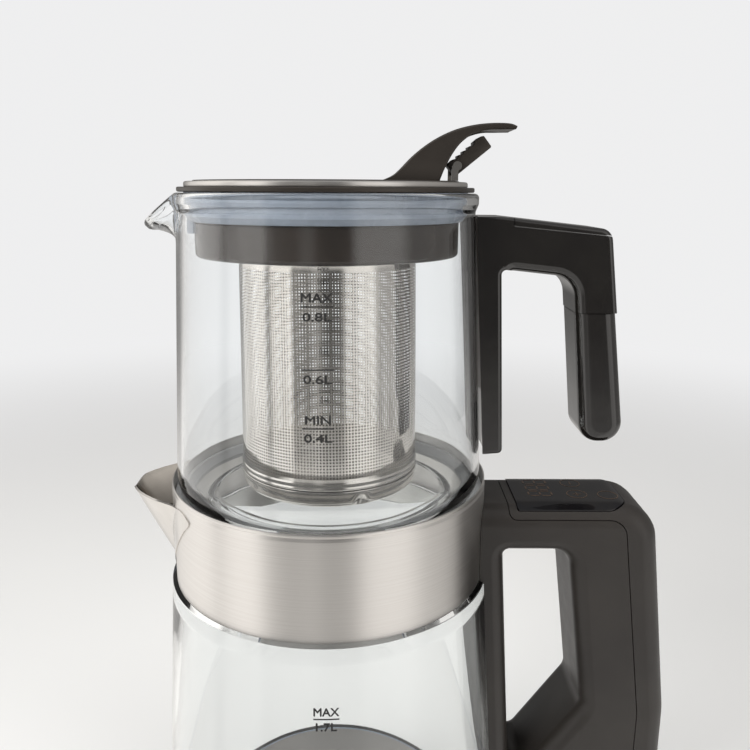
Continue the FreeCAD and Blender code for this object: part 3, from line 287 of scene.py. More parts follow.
# Makes a flat shape thick by a vector
def thicken(bm, way):
    grown = bmesh.ops.extrude_face_region(bm, geom=bm.faces[:])["geom"]
    bmesh.ops.translate(bm, vec=way, verts=[v for v in grown if isinstance(v, bmesh.types.BMVert)])
    bmesh.ops.recalc_face_normals(bm, faces=bm.faces)


# A bmesh with an XZ outline made thick along Y
def slab(points, halfWidth):
    bm = bmesh.new()
    bm.faces.new([bm.verts.new((p[0], -halfWidth, p[1])) for p in points])
    thicken(bm, (0, 2 * halfWidth, 0))
    return bm


def ringEdges(bm, verts):
    return [bm.edges.new(pair) for pair in zip(verts, verts[1:] + verts[:1])]


# Joins rings of edges into one skin and closes its two ends
def bridgeRings(bm, rings):
    for a, b in zip(rings, rings[1:]):
        bmesh.ops.bridge_loops(bm, edges=a + b)
    for ring in (rings[0], rings[-1]):
        bmesh.ops.contextual_create(bm, geom=ring)
    bmesh.ops.recalc_face_normals(bm, faces=bm.faces)


# Adds another bmesh's shape to this one and frees it
def joinIn(bm, other):
    mesh = bpy.data.meshes.new("joined")
    other.to_mesh(mesh)
    other.free()
    bm.from_mesh(mesh)
    bpy.data.meshes.remove(mesh)


# The sharp rims of a slab's two side faces that the test wants
def rimEdges(bm, wanted=lambda middle, normal: True):
    side = max(abs(v.co.y) for v in bm.verts) - 1e-4
    found = []
    for edge in bm.edges:
        if any(abs(v.co.y) < side for v in edge.verts) or edge.calc_face_angle(0) < 1.2:
            continue
        if edge.verts[0].co.y * edge.verts[1].co.y < 0:
            continue
        normal = min((f.normal for f in edge.link_faces), key=lambda n: abs(n.y))
        if wanted((edge.verts[0].co + edge.verts[1].co) / 2, normal):
            found.append(edge)
    return found


def roundEdges(bm, edges, radius, segments, clamp=False):
    bmesh.ops.bevel(bm, geom=edges, offset=radius, offset_type="OFFSET", segments=segments,
                    profile=0.5, affect="EDGES", clamp_overlap=clamp, material=-1)


def thickOutline(points, halfWidth, rimRadius, segments=3, clamp=True):
    bm = slab(points, halfWidth)
    roundEdges(bm, rimEdges(bm), rimRadius, segments, clamp)
    return bm


# Corners of a convex outline moved outward, their radii grown alike
def grownCorners(corners, offset):
    points = [Vector(c[:2]) for c in corners]
    middle = sum(points, Vector((0, 0))) / len(points)
    out = []
    for i, here in enumerate(points):
        normals = []
        for a, b in ((points[i - 1], here), (here, points[(i + 1) % len(points)])):
            normal = Vector(((b - a).y, -(b - a).x)).normalized()
            normals.append(normal if normal.dot((a + b) / 2 - middle) > 0 else -normal)
        shift = (normals[0] + normals[1]) / (1 + normals[0].dot(normals[1])) * offset
        out.append((*(here + shift), corners[i][2] + offset))
    return out


# Cutter for a hole along Y that widens into a rounded rim at both ends
def flaredCutter(corners, halfWidth, flare, steps=8, inset=0.0):
    stations = [(halfWidth + 3, flare)]
    for k in range(steps + 1):
        angle = math.pi / 2 * k / steps
        y = halfWidth + 0.05 - flare * (1 - math.cos(angle))
        stations.append((y, flare * (1 - math.sin(angle))))
    stations += [(-y, grow) for y, grow in reversed(stations)]
    bm = bmesh.new()
    rings = []
    for y, grow in stations:
        outline = roundedLine(grownCorners(corners, grow - inset), steps=8)
        rings.append(ringEdges(bm, [bm.verts.new((p[0], y, p[1])) for p in outline]))
    bridgeRings(bm, rings)
    return bm


def asObject(bm, name):
    bmesh.ops.recalc_face_normals(bm, faces=bm.faces)
    holder = bpy.data.objects.new(name, bpy.data.meshes.new(name))
    bm.to_mesh(holder.data)
    bm.free()
    bpy.context.scene.collection.objects.link(holder)
    return holder


# The body with each cutter taken away from it
def carve(bm, *cutters):
    body = asObject(bm, "carved")
    for cutter in cutters:
        tool = asObject(cutter, "cutter")
        boolean = body.modifiers.new("cut", "BOOLEAN")
        boolean.operation = "DIFFERENCE"
        boolean.object = tool
        boolean.solver = "EXACT"
    shape = bpy.context.evaluated_depsgraph_get()
    mesh = bpy.data.meshes.new_from_object(body.evaluated_get(shape))
    out = bmesh.new()
    out.from_mesh(mesh)
    for modifier in body.modifiers:
        bpy.data.objects.remove(modifier.object)
    bpy.data.objects.remove(body)
    bpy.data.meshes.remove(mesh)
    bmesh.ops.remove_doubles(out, verts=out.verts, dist=0.002)
    bmesh.ops.dissolve_degenerate(out, edges=out.edges, dist=0.002)
    return out


# Splits a bmesh into its separate solids
def looseParts(bm):
    left = set(bm.verts)
    parts = []
    while left:
        found = [left.pop()]
        group = set(found)
        while found:
            for edge in found.pop().link_edges:
                for v in edge.verts:
                    if v in left:
                        left.remove(v)
                        found.append(v)
                        group.add(v)
        index = {v.index for v in group}
        part = bm.copy()
        bmesh.ops.delete(part, geom=[v for v in part.verts if v.index not in index], context="VERTS")
        parts.append(part)
    bm.free()
    return parts


def boxShape(low, high):
    bm = bmesh.new()
    bmesh.ops.create_cube(bm, size=1)
    bmesh.ops.scale(bm, vec=Vector(high) - Vector(low), verts=bm.verts)
    bmesh.ops.translate(bm, vec=(Vector(high) + Vector(low)) / 2, verts=bm.verts)
    return bm


# A line of points given a width, as a closed outline
def ribbonOutline(points, width):
    sides = ([], [])
    for i, point in enumerate(points):
        before = points[max(i - 1, 0)]
        after = points[min(i + 1, len(points) - 1)]
        way = (after - before).normalized()
        across = Vector((-way.y, way.x)) * width / 2
        sides[0].append(point + across)
        sides[1].append(point - across)
    return sides[0] + sides[1][::-1]


def addPiece(name, bm, body, slot, replaces=(), material=None, sharp=38, even=False):
    bmesh.ops.scale(bm, vec=(mm, mm, mm), verts=bm.verts)
    mesh = bpy.data.meshes.new(name)
    bm.to_mesh(mesh)
    bm.free()
    mesh.polygons.foreach_set("use_smooth", [True] * len(mesh.polygons))
    mesh.set_sharp_from_angle(angle=math.radians(sharp))
    mesh.materials.append(material or finishes[slot])
    piece = bpy.data.objects.new(name, mesh)
    bpy.context.scene.collection.objects.link(piece)
    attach(piece, body)
    if replaces:
        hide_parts(*replaces)
    if even:
        flat = piece.modifiers.new("evenShading", "WEIGHTED_NORMAL")
        flat.keep_sharp = True
    return piece


def smoothStep(t):
    t = min(1.0, max(0.0, t))
    return t * t * (3 - 2 * t)


# Kettle glass

kettleLow, kettleHigh = boxOf("kettle_glass")
collarLow, collarHigh = boxOf("collar")
kettleShape = {
    "wall": 3.0,
    "shoulderRadius": 66.3,
    "shoulderDrop": 0.7,
    "neckRadius": collarHigh.x - 1.0,
    "lipRound": 1.2,
}


def kettleRadius(z):
    share = (z - kettleLow.z) / (collarLow.z - kettleLow.z)
    return kettleHigh.x + (kettleShape["shoulderRadius"] - kettleHigh.x) * share


def makeKettleGlass(s):
    foot, top, seam = kettleLow.z, kettleHigh.z, collarLow.z
    outer, inner = s["neckRadius"], s["neckRadius"] - s["wall"]
    line = roundedLine([
        (kettleHigh.x - s["wall"], foot, 0.8), (kettleHigh.x, foot, 0.8),
        (kettleRadius(seam - s["shoulderDrop"]), seam - s["shoulderDrop"], 0.5),
        (outer, seam, 0.3), (outer, top, s["lipRound"]), (inner, top, s["lipRound"]),
        (inner, seam, 3), (kettleRadius(seam - 8) - s["wall"], seam - 8, 6)])
    addPiece("kettle_glass_body", turnLine(line, steps=256), "kettle", "kettle_glass",
             ["kettle_glass"])


makeKettleGlass(kettleShape)

# Steel collar with its rolled rim and the oval pour slot

collarShape = {
    "wall": 0.8,
    "beadHeight": 1.0,
    "beadProud": 0.28,
    "shoulder": 2.6,
    "slotHalfWidth": 9.0,
    "slotHalfHeight": 3.8,
    "slotDrop": 20.0,
}


def makeCollar(s):
    low, top = collarLow.z, collarHigh.z
    bottom = collarHigh.x
    upper = bottom - 0.2
    inner = bottom - 0.3 - s["wall"]
    neck = upper - s["beadProud"] * 1.6
    line = roundedLine([
        (bottom, low, 0.3), (upper, top - s["shoulder"], 1.6),
        (neck, top - s["beadHeight"] - 0.35, 0.5), (neck + s["beadProud"], top - s["beadHeight"], 0.3),
        (neck + s["beadProud"], top, 0.45), (inner, top, 0.35), (inner, top - 4, 1),
        (bottom - s["wall"], low, 0.3)], steps=4)
    line = splitLine(line + [line[0]], 3.0, low, top)[:-1]
    cutter = bmesh.new()
    bmesh.ops.create_circle(cutter, cap_ends=True, segments=32, radius=s["slotHalfHeight"])
    shift = s["slotHalfWidth"] - s["slotHalfHeight"]
    for v in cutter.verts:
        v.co = (-52, v.co.x + math.copysign(shift, v.co.x), v.co.y + top - s["slotDrop"])
    thicken(cutter, (-20, 0, 0))
    addPiece("collar_band", carve(turnLine(line, steps=256), cutter), "kettle", "brushed_steel",
             ["collar"])


makeCollar(collarShape)

# Folded kettle spout with its flanges

spoutLow, spoutHigh = boxOf("kettle_spout")
spoutShape = {
    "sheet": 0.9,
    "rootHalf": 28.0,
    "footHalf": 1.6,
    "flangeTop": 42.0,   # degrees round the collar, at the top and at the foot
    "flangeFoot": 8.0,
    "flangeCorner": 6.0,
    "rimRise": 1.2,
    "tipDrop": 1.9,
    "tipHalf": 8.0,
    "sideShare": 0.62,   # share of the grid that makes the pouring part
    "across": 132,
    "down": 48,
}


def makeSpout(s):
    top, low = spoutHigh.z + s["rimRise"], spoutLow.z
    reach = -spoutLow.x + 0.3
    wallX = collarHigh.x + 0.25
    creases = []
    bm = bmesh.new()
    bmesh.ops.create_grid(bm, x_segments=s["across"], y_segments=s["down"], size=1)
    for v in bm.verts:
        side = math.copysign(1, v.co.x)
        along = abs(v.co.x)
        down = (1 - v.co.y) / 2
        half = s["rootHalf"] * (1 - down) + s["footHalf"] * down
        nose = reach * (1 - down) + (wallX + 0.9) * down
        rootX = math.sqrt(wallX ** 2 - half ** 2)
        z = top + (low - top) * down
        if along < s["sideShare"]:
            t = along / s["sideShare"]
            near = max(0.0, 1 - (half * t / s["tipHalf"]) ** 2)
            v.co = (-(nose + (rootX - nose) * t * t), side * half * t,
                    z - s["tipDrop"] * near ** 2 * (1 - down) ** 2)
            if t > 0.8:
                creases.append(v)
        else:
            t = (along - s["sideShare"]) / (1 - s["sideShare"])
            rootAngle = math.asin(half / wallX)
            edgeAngle = math.radians(s["flangeTop"] * (1 - down) + s["flangeFoot"] * down)
            fromTop = max(0.0, 1 - (top - z) / s["flangeCorner"])
            edgeAngle -= 0.42 * s["flangeCorner"] / wallX * fromTop ** 2
            angle = rootAngle + (edgeAngle - rootAngle) * t
            lowered = s["flangeCorner"] * 0.35 * max(0.0, t - 0.55) ** 2 / 0.2 * fromTop
            v.co = (-wallX * math.cos(angle), side * wallX * math.sin(angle),
                    z + 1.6 * smoothStep(t * 2) * (1 - down) - lowered)
            if t < 0.3:
                creases.append(v)
    inside = [v for v in creases if not v.is_boundary]
    rim = [v for v in creases if v.is_boundary and v.co.z > top - 1]
    for _ in range(12):
        bmesh.ops.smooth_vert(bm, verts=inside + rim, factor=0.5, use_axis_x=True,
                              use_axis_y=True, use_axis_z=False)
    bmesh.ops.recalc_face_normals(bm, faces=bm.faces)
    if sum(f.normal.x * f.calc_area() for f in bm.faces) > 0:
        bmesh.ops.reverse_faces(bm, faces=bm.faces)
    bmesh.ops.solidify(bm, geom=bm.faces[:], thickness=s["sheet"])
    bmesh.ops.recalc_face_normals(bm, faces=bm.faces)
    addPiece("kettle_spout_sheet", bm, "kettle", "polished_steel", ["kettle_spout"])


makeSpout(spoutShape)
print("kettle glass, collar and spout made")

# Teapot glass with its pulled lip

potLow, potHigh = boxOf("teapot_glass")
potShape = {
    "footRadius": potHigh.y,
    "topRadius": 56.4,
    "corner": 15.0,
    "wall": 2.5,
    "floor": 3.7,
    "pushUp": 1.0,
    "pushRadius": 49.0,
    "beadRadius": 58.0,
    "beadHeight": 3.8,
    "mouthRadius": 54.0,
    "lipAngle": 17.0,
    "lipStart": 19.7,    # how far under the rim the lip starts to bend
    "steps": 288,
}
# The lip's middle line in (reach, height below the rim), from the wall to the tip
lipLine = [Vector(p) for p in [(57.1, -19.7), (58.0, -17.6), (60.2, -15.9), (63.4, -14.7),
                               (66.8, -13.9), (69.2, -12.6), (70.2, -10.6)]]


def potRadius(z):
    share = (z - potLow.z - potShape["corner"]) / (potHigh.z - potLow.z - potShape["corner"])
    return potShape["footRadius"] + (potShape["topRadius"] - potShape["footRadius"]) * share


# Point and outward direction on the lip's line, by share of its length
def onLip(share):
    lengths = [(b - a).length for a, b in zip(lipLine, lipLine[1:])]
    left = min(1.0, max(0.0, share)) * sum(lengths)
    for i, length in enumerate(lengths):
        if left <= length or i == len(lengths) - 1:
            break
        left -= length
    a, b = lipLine[i], lipLine[i + 1]
    before = lipLine[i - 1] if i else a - (b - a)
    after = lipLine[i + 2] if i + 2 < len(lipLine) else b + (b - a)
    t = left / lengths[i]
    slope = ((b - before) * (1 - t) + (after - a) * t).normalized()
    return a.lerp(b, t), Vector((slope.y, -slope.x))


def makeTeapotGlass(s):
    top, low = potHigh.z, potLow.z
    bead = top - s["beadHeight"]
    foot, floor = s["footRadius"], low + s["floor"]
    push = s["pushUp"]
    line = roundedLine([
        (0, low + push), (s["pushRadius"], low + push, 1.5), (s["pushRadius"] + 2.2, low, 1.5),
        (foot, low, s["corner"] - 1), (potRadius(bead - 3), bead - 3, 3),
        (s["beadRadius"], bead, 1.4), (s["beadRadius"], top, 1.7), (s["mouthRadius"], top, 1.2),
        (s["mouthRadius"], bead - 6, 16), (foot - s["wall"], floor, s["corner"] - s["wall"]),
        (s["pushRadius"] - 1, floor, 2.5), (s["pushRadius"] - 3, floor + push * 0.7, 2.5),
        (0, floor + push * 0.7)], closed=False, steps=7)
    line = splitLine(line, 1.3, top - s["lipStart"] - 4, top)
    bm = turnLine(line, closed=False, steps=s["steps"])
    for v in bm.verts:
        drop = v.co.z - top
        if drop < -s["lipStart"] or v.co.x > 0:
            continue
        angle = math.degrees(math.atan2(abs(v.co.y), -v.co.x))
        if angle > s["lipAngle"]:
            continue
        pull = 0.5 + 0.5 * math.cos(math.pi * angle / s["lipAngle"])
        radius = math.hypot(v.co.x, v.co.y)
        spot, outward = onLip(1 + drop / s["lipStart"])
        bent = spot + outward * (radius - potRadius(v.co.z)) * 0.8
        newRadius = radius + (bent.x - radius) * pull
        v.co.z = v.co.z + (top + bent.y - v.co.z) * pull
        v.co.x *= newRadius / radius
        v.co.y *= newRadius / radius
    bmesh.ops.recalc_face_normals(bm, faces=bm.faces)
    addPiece("teapot_glass_body", bm, "teapot", "teapot_glass", ["teapot_glass"])


makeTeapotGlass(potShape)
print("teapot glass made")

# Tea basket: perforated wall in three bands, neck ring, foot beads

basketLow, basketHigh = boxOf("tea_basket")
basketCapLow, basketCapHigh = boxOf("tea_basket_cap")
basketShape = {
    "footRadius": 35.6,
    "topRadius": 34.3,
    "wall": 0.35,
    "pitch": 1.2,
    "hole": 0.43,
    "meshStart": 4.6,    # plain steel below the holes
    "meshEnd": 7.6,      # and above them, measured from the basket's top
    "bands": 3,
    "neckWall": 1.8,
}


def basketRadius(z):
    s = basketShape
    share = (z - basketLow.z) / (basketHigh.z - basketLow.z)
    return s["footRadius"] + (s["topRadius"] - s["footRadius"]) * share


def wrapAround(bm, radiusAt):
    for v in bm.verts:
        angle = v.co.x
        radius = radiusAt(v.co.z) + v.co.y
        v.co = (radius * math.cos(angle), radius * math.sin(angle), v.co.z)


def makeBasketWall(s):
    start = basketLow.z + s["meshStart"]
    end = basketHigh.z - s["meshEnd"]
    columns = round(math.tau * s["footRadius"] / s["pitch"])
    rows = round((end - start) / s["pitch"] / s["bands"])
    bandHeight = (end - start) / s["bands"]
    for band in range(s["bands"]):
        bm = bmesh.new()
        bmesh.ops.create_grid(bm, x_segments=columns, y_segments=rows, size=0.5)
        bmesh.ops.scale(bm, vec=(columns, rows, 1), verts=bm.verts)
        rims = set(bmesh.ops.inset_individual(
            bm, faces=bm.faces[:], thickness=0.5 - s["hole"] / 2 / s["pitch"])["faces"])
        bmesh.ops.delete(bm, geom=[f for f in bm.faces if f not in rims], context="FACES_ONLY")
        low = start + band * bandHeight
        for v in bm.verts:
            v.co = (math.pi + v.co.x / columns * math.tau, 0,
                    low + (v.co.y / rows + 0.5) * bandHeight)
        wrapAround(bm, basketRadius)
        bmesh.ops.remove_doubles(bm, verts=bm.verts, dist=0.01)
        addPiece(f"basket_mesh_{band + 1}", bm, "basket", "basket_steel", ["tea_basket"])


makeBasketWall(basketShape)


def makeBasketRings(s):
    low, top = basketLow.z, basketHigh.z
    meshLow, meshTop = low + s["meshStart"], top - s["meshEnd"]
    foot = s["footRadius"]
    wall = s["wall"]
    footLine = roundedLine([
        (foot - wall, low), (foot, low, 0.2), (foot + 0.25, low + 0.7, 0.3), (foot, low + 1.4, 0.3),
        (foot, low + 2.0, 0.2), (foot + 0.25, low + 2.7, 0.3), (foot, low + 3.4, 0.3),
        (basketRadius(meshLow), meshLow), (basketRadius(meshLow) - wall, meshLow)], steps=3)
    addPiece("basket_foot_beads", turnLine(footLine), "basket", "basket_steel", ["tea_basket"])
    neck = s["topRadius"] + s["neckWall"] - 0.6
    neckLine = roundedLine([
        (s["topRadius"] - 0.6, meshTop), (s["topRadius"], meshTop), (s["topRadius"], top - 5.4, 0.3),
        (neck, top - 5.4, 0.5), (neck, top, 0.4), (s["topRadius"] - 0.6, top, 0.4)], steps=3)
    addPiece("basket_neck", turnLine(neckLine), "basket", "basket_steel", ["tea_basket"])


makeBasketRings(basketShape)

capShape = {"radius": 35.9, "dimpleAngle": 23.0, "dimpleRadius": 4.2, "dimpleDepth": 1.6}


def makeBasketCap(s):
    low = basketCapLow.z
    top = low + 7.8
    r = s["radius"]
    line = roundedLine([
        (0, low), (r - 7, low, 3), (r - 3.0, low + 0.9, 2.5), (r - 0.4, low + 2.6, 2.2),
        (r - 0.1, top - 1.2, 0.8), (r, top - 0.7, 0.3), (r, top, 0.3), (r - 1.2, top),
        (r - 1.2, basketCapHigh.z, 0.2), (r - 4.3, basketCapHigh.z, 0.2), (r - 4.3, low + 1.6, 2.5),
        (0, low + 1.0)], closed=False, steps=5)
    bm = turnLine(line, closed=False, steps=240)
    turn = math.radians(s["dimpleAngle"])
    spot = Vector((math.sin(turn) * r, -math.cos(turn) * r, low + 2.4))
    for v in bm.verts:
        near = (v.co - spot).length / s["dimpleRadius"]
        if near < 1 and math.hypot(v.co.x, v.co.y) > r - 6:
            inward = Vector((-v.co.x, -v.co.y, 12)).normalized()
            v.co += inward * s["dimpleDepth"] * (1 - smoothStep(near))
    addPiece("basket_foot_cap", bm, "basket_cap", "polished_steel", ["tea_basket_cap"])


makeBasketCap(capShape)
print("basket made")

# Thumb fin: rings from the lid to the tip, with a channel under it for the bar

finLow = boxOf("lid_fin")[0]
finShape = {
    "halfWidth": 9.5,
    "flare": 0.16,
    "flareHeight": 9.0,
    "edge": 0.7,
    "channelHalf": 7.3,
    "stations": 40,
}
# Upper and lower edge of the fin's side, (x, height over the lid)
finUpper = [(20.5, 0), (24.5, 1.7), (27.6, 4.2), (33.0, 9.6), (39.6, 14.4), (46.8, 17.9),
            (53.9, 19.8), (60.9, 20.6), (67.6, 20.5), (70.4, 19.6)]
finUnder = [(42.3, 0), (43.0, 1.8), (43.9, 3.9), (45.6, 7.3), (47.7, 10.8), (50.3, 13.9),
            (54.2, 16.6), (59.4, 18.1), (64.9, 18.3), (69.9, 18.4)]
finChannel = [0.0, 3.2, 4.6, 5.2, 5.0, 3.2, 1.4, 0.6, 0.3, 0.2]


def curveAt(points, share):
    place = share * (len(points) - 1)
    i = min(int(place), len(points) - 2)
    t = place - i
    rows = [Vector(points[min(max(i + k, 0), len(points) - 1)]) for k in (-1, 0, 1, 2)]
    a, b, c, d = rows
    return 0.5 * (2 * b + (c - a) * t + (2 * a - 5 * b + 4 * c - d) * t * t
                  + (3 * b - a - 3 * c + d) * t ** 3)


def makeFin(s):
    bm = bmesh.new()
    rings = []
    for k in range(s["stations"] + 1):
        share = k / s["stations"]
        upper, under = curveAt(finUpper, share), curveAt(finUnder, share)
        depth = curveAt([(d, 0) for d in finChannel], share).x
        span = (under - upper).length
        way = (under - upper) / span
        corners = []
        edge = min(s["edge"], span * 0.3)
        channel = min(depth, span - 1.2)
        for y, along in [(-1, edge), (-0.93, edge * 0.3), (-0.86, 0), (0.86, 0),
                         (0.93, edge * 0.3), (1, edge), (1, span - edge), (0.94, span)]:
            corners.append((y * s["halfWidth"], along))
        inner = s["channelHalf"]
        corners += [(inner, span), (inner - 0.2, span - channel), (-inner + 0.2, span - channel),
                    (-inner, span), (-0.94 * s["halfWidth"], span), (-s["halfWidth"], span - edge)]
        ring = []
        for y, along in corners:
            spot = upper + way * along
            height = max(0.0, spot.y)
            wide = 1 + s["flare"] * (1 - smoothStep(height / s["flareHeight"]))
            if abs(y) < s["channelHalf"] + 0.1:
                wide = 1
            ring.append(bm.verts.new((spot.x, y * wide, finLow.z + height)))
        rings.append(ringEdges(bm, ring))
    bridgeRings(bm, rings)
    addPiece("lid_fin_shell", bm, "lid", "lid_plastic", ["lid_fin"], sharp=32)


makeFin(finShape)

# Release bar with grip ridges on the side that faces the fin

leverShape = {
    "pivotX": 48.9,
    "pivotRise": 5.4,
    "angle": 39.0,
    "back": 2.4,
    "front": 14.2,
    "half": 2.65,
    "halfWidth": 6.6,
    "ridges": 4,
    "ridgeDepth": 0.55,
}


def makeLever(s):
    half = s["half"]
    corners = [(-s["back"], -half, 0.8), (s["front"], -half, 0.6), (s["front"] + 0.1, half - 0.3, 0.5),
               (s["front"] - 1.0, half + 0.25, 0.4), (s["front"] - 3.6, half + 0.25, 0.3)]
    run = s["front"] - 4.2
    for k in range(s["ridges"]):
        end = run - k * run / s["ridges"]
        corners += [(end, half - s["ridgeDepth"], 0.15), (end - 1.5, half - s["ridgeDepth"], 0.15),
                    (end - 1.8, half, 0.15), (end - run / s["ridges"] + 0.3, half, 0.15)]
    corners.append((-s["back"], half, 0.8))
    bm = thickOutline(roundedLine(corners, steps=3), s["halfWidth"], 0.35, 2)
    tilt = Matrix.Rotation(math.radians(-s["angle"]), 3, "Y")
    bmesh.ops.rotate(bm, matrix=tilt, verts=bm.verts)
    bmesh.ops.translate(bm, vec=(s["pivotX"], 0, finLow.z + s["pivotRise"]), verts=bm.verts)
    addPiece("release_bar", bm, "lever", "lid_plastic", ["release_lever"], sharp=32)


makeLever(leverShape)

# Silicone lips round the seal, and the bright trim ring over it

sealHigh = boxOf("lid_seal")[1]
trimLow, trimHigh = boxOf("lid_trim_ring")
sealShape = {"lipDrops": (3.2, 7.2), "lipReach": 0.12, "lipHeight": 1.5, "depth": 1.2}


def makeSealLips(s):
    for number, drop in enumerate(s["lipDrops"], 1):
        z, r = sealHigh.z - drop, sealHigh.y + s["lipReach"]
        line = roundedLine([(r - s["depth"], z - s["lipHeight"] / 2), (r - 0.4, z - s["lipHeight"] / 2),
                            (r, z, 0.5), (r - 0.4, z + s["lipHeight"] / 2),
                            (r - s["depth"], z + s["lipHeight"] / 2)], steps=4)
        addPiece(f"seal_lip_{number}", turnLine(line, steps=144), "lid", "clear_silicone")


def makeTrimRing():
    r, low, top = trimHigh.y, trimLow.z, trimHigh.z
    line = roundedLine([(r - 1.4, low), (r, low, 0.3), (r + 0.1, low + 0.5, 0.3), (r, top, 0.8),
                        (r - 1.4, top, 0.3)], steps=6)
    addPiece("trim_ring", turnLine(line, steps=240), "lid", "brushed_steel", ["lid_trim_ring"])


makeSealLips(sealShape)
makeTrimRing()

# Lid top: a shallow dome with a fine step inside the trim ring

lidTopLow, lidTopHigh = boxOf("lid_top")


def makeLidTop():
    low, top, r = lidTopLow.z, lidTopHigh.z, lidTopHigh.y
    line = roundedLine([
        (0, low), (r, low, 0.2), (r, top - 0.9, 0.3), (r - 0.5, top - 0.5, 0.3),
        (r - 1.4, top - 0.45, 0.4), (r - 2.0, top - 0.1, 0.4), (r * 0.7, top, 30), (0, top)],
        closed=False, steps=5)
    addPiece("lid_top_plate", turnLine(line, closed=False), "lid", "lid_plastic", ["lid_top"])


makeLidTop()
print("lid made")

# Level marks printed on the glass, generic numbers only

markShape = {"lift": 0.03, "thick": 0.06, "potX": 0.0, "kettleX": 2.0, "bold": 0.11}


def wrapOnGlass(bm, z0, x0, radiusAt):
    for v in bm.verts:
        z = z0 + v.co.y
        radius = radiusAt(z) + markShape["lift"] + v.co.z
        angle = (x0 + v.co.x) / radius
        v.co = (radius * math.sin(angle), -radius * math.cos(angle), z)


# Words on the glass, made bolder by four copies moved aside
def makeText(name, words, width, height, place, body, slot):
    curve = bpy.data.curves.new(name + "Curve", "FONT")
    curve.body = words
    curve.align_x = "CENTER"
    curve.align_y = "CENTER"
    curve.size = 4.0
    curve.extrude = markShape["thick"] / 2
    curve.resolution_u = 6
    holder = bpy.data.objects.new(name + "Curve", curve)
    bpy.context.scene.collection.objects.link(holder)
    shape = bpy.context.evaluated_depsgraph_get()
    mesh = bpy.data.meshes.new_from_object(holder.evaluated_get(shape))
    bpy.data.objects.remove(holder)
    bm = bmesh.new()
    bm.from_mesh(mesh)
    xs = [v.co.x for v in bm.verts]
    ys = [v.co.y for v in bm.verts]
    bold = markShape["bold"]
    bmesh.ops.translate(bm, vec=(-(min(xs) + max(xs)) / 2, -(min(ys) + max(ys)) / 2, 0), verts=bm.verts)
    bmesh.ops.scale(bm, vec=((width - 2 * bold) / (max(xs) - min(xs)),
                             (height - 2 * bold) / (max(ys) - min(ys)), 1), verts=bm.verts)
    thin = bm.copy()
    for step, way in enumerate([(1, 0), (-1, 0), (0, 1), (0, -1)]):
        stroke = thin.copy()
        shift = (way[0] * bold, way[1] * bold, (step + 1) * 0.002)
        bmesh.ops.translate(stroke, vec=shift, verts=stroke.verts)
        joinIn(bm, stroke)
    thin.free()
    bmesh.ops.translate(bm, vec=(0, 0, markShape["thick"] / 2), verts=bm.verts)
    wrapOnGlass(bm, *place)
    bmesh.ops.remove_doubles(bm, verts=bm.verts, dist=0.0005)
    addPiece(name, bm, body, slot, material=inkMaterial)


def makeLine(name, width, height, place, body, slot):
    bm = bmesh.new()
    bmesh.ops.create_grid(bm, x_segments=16, y_segments=1, size=0.5)
    bmesh.ops.scale(bm, vec=(width, height, 1), verts=bm.verts)
    thicken(bm, (0, 0, markShape["thick"]))
    wrapOnGlass(bm, *place)
    bmesh.ops.recalc_face_normals(bm, faces=bm.faces)
    addPiece(name, bm, body, slot, material=inkMaterial)


potMarks = [("mark_max", "MAX", 10.4, 3.1, 312.2), ("mark_08", "0.8L", 9.4, 2.9, 306.0),
            ("mark_06", "0.6L", 9.4, 2.9, 285.6), ("mark_min", "MIN", 8.6, 3.0, 272.0),
            ("mark_04", "0.4L", 9.4, 2.9, 265.8)]
for name, words, width, height, z in potMarks:
    makeText(name, words, width, height, (z, markShape["potX"], potRadius), "teapot", "teapot_glass")
for name, z in [("line_08", 309.3), ("line_06", 288.8), ("line_04", 269.1)]:
    makeLine(name, 10.6, 0.45, (z, markShape["potX"], potRadius), "teapot", "teapot_glass")
kettleMarks = [("kettle_mark_max", "MAX", 9.2, 3.3, 166.3), ("kettle_mark_17", "1.7L", 7.6, 3.3, 160.4)]
for name, words, width, height, z in kettleMarks:
    makeText(name, words, width, height, (z, markShape["kettleX"], kettleRadius), "kettle",
             "kettle_glass")
makeLine("kettle_line_17", 9.3, 0.5, (163.5, markShape["kettleX"], kettleRadius), "kettle",
         "kettle_glass")

# Kettle handle: shell and cover with an open seam between them

panelLow, panelHigh = boxOf("touch_panel")
coverHigh = boxOf("handle_cover")[1]
handleShape = {
    "outline": [(50, 0), (132.6, 0, 15), (144.6, -94, 60), (145, -140, 15), (84, -171, 9), (50, -171)],
    "opening": [(71.5, -19, 2.5), (98.6, -19, 8), (108, -92, 8), (79, -133, 4)],
    "outerRound": 8.0,
    "innerRound": 6.5,
    # The seam between cover and shell, (x, height from the top, radius)
    "seamPath": [(73.0, 12), (73.0, -4.6, 3), (119.5, -4.6, 7), (131.5, -94, 30),
                 (131.5, -116, 8), (170, -132)],
    "seam": 0.36,
    "glassGap": 0.1,
    "panelHalf": 16.3,
    "panelThick": 2.6,
    "panelGap": 0.25,
    "panelRim": 0.55,
    "panelBend": (117.6, 118.6, 119.6, 120.6),    # cuts across it where the top starts to fall
    "partGap": 0.2,      # room round the parts inside
    "endRound": 15.0,
}


# How far the handle's top has curved down at a place on it
def topDrop(x, y):
    s = handleShape
    drop = 0.0
    past = abs(y) - (coverHigh.y - s["outerRound"])
    if past > 0:
        drop += s["outerRound"] - math.sqrt(s["outerRound"] ** 2 - past ** 2)
    past = x - (s["outline"][1][0] - s["endRound"])
    if past > 0:
        drop += s["endRound"] - math.sqrt(s["endRound"] ** 2 - past ** 2)
    return drop


def panelPlan(grow):
    half = handleShape["panelHalf"] + grow
    return roundedLine([(panelLow.x - grow, -half, 1.2), (panelHigh.x + grow, -half, 9),
                        (panelHigh.x + grow, half, 9), (panelLow.x - grow, half, 1.2)], steps=8)


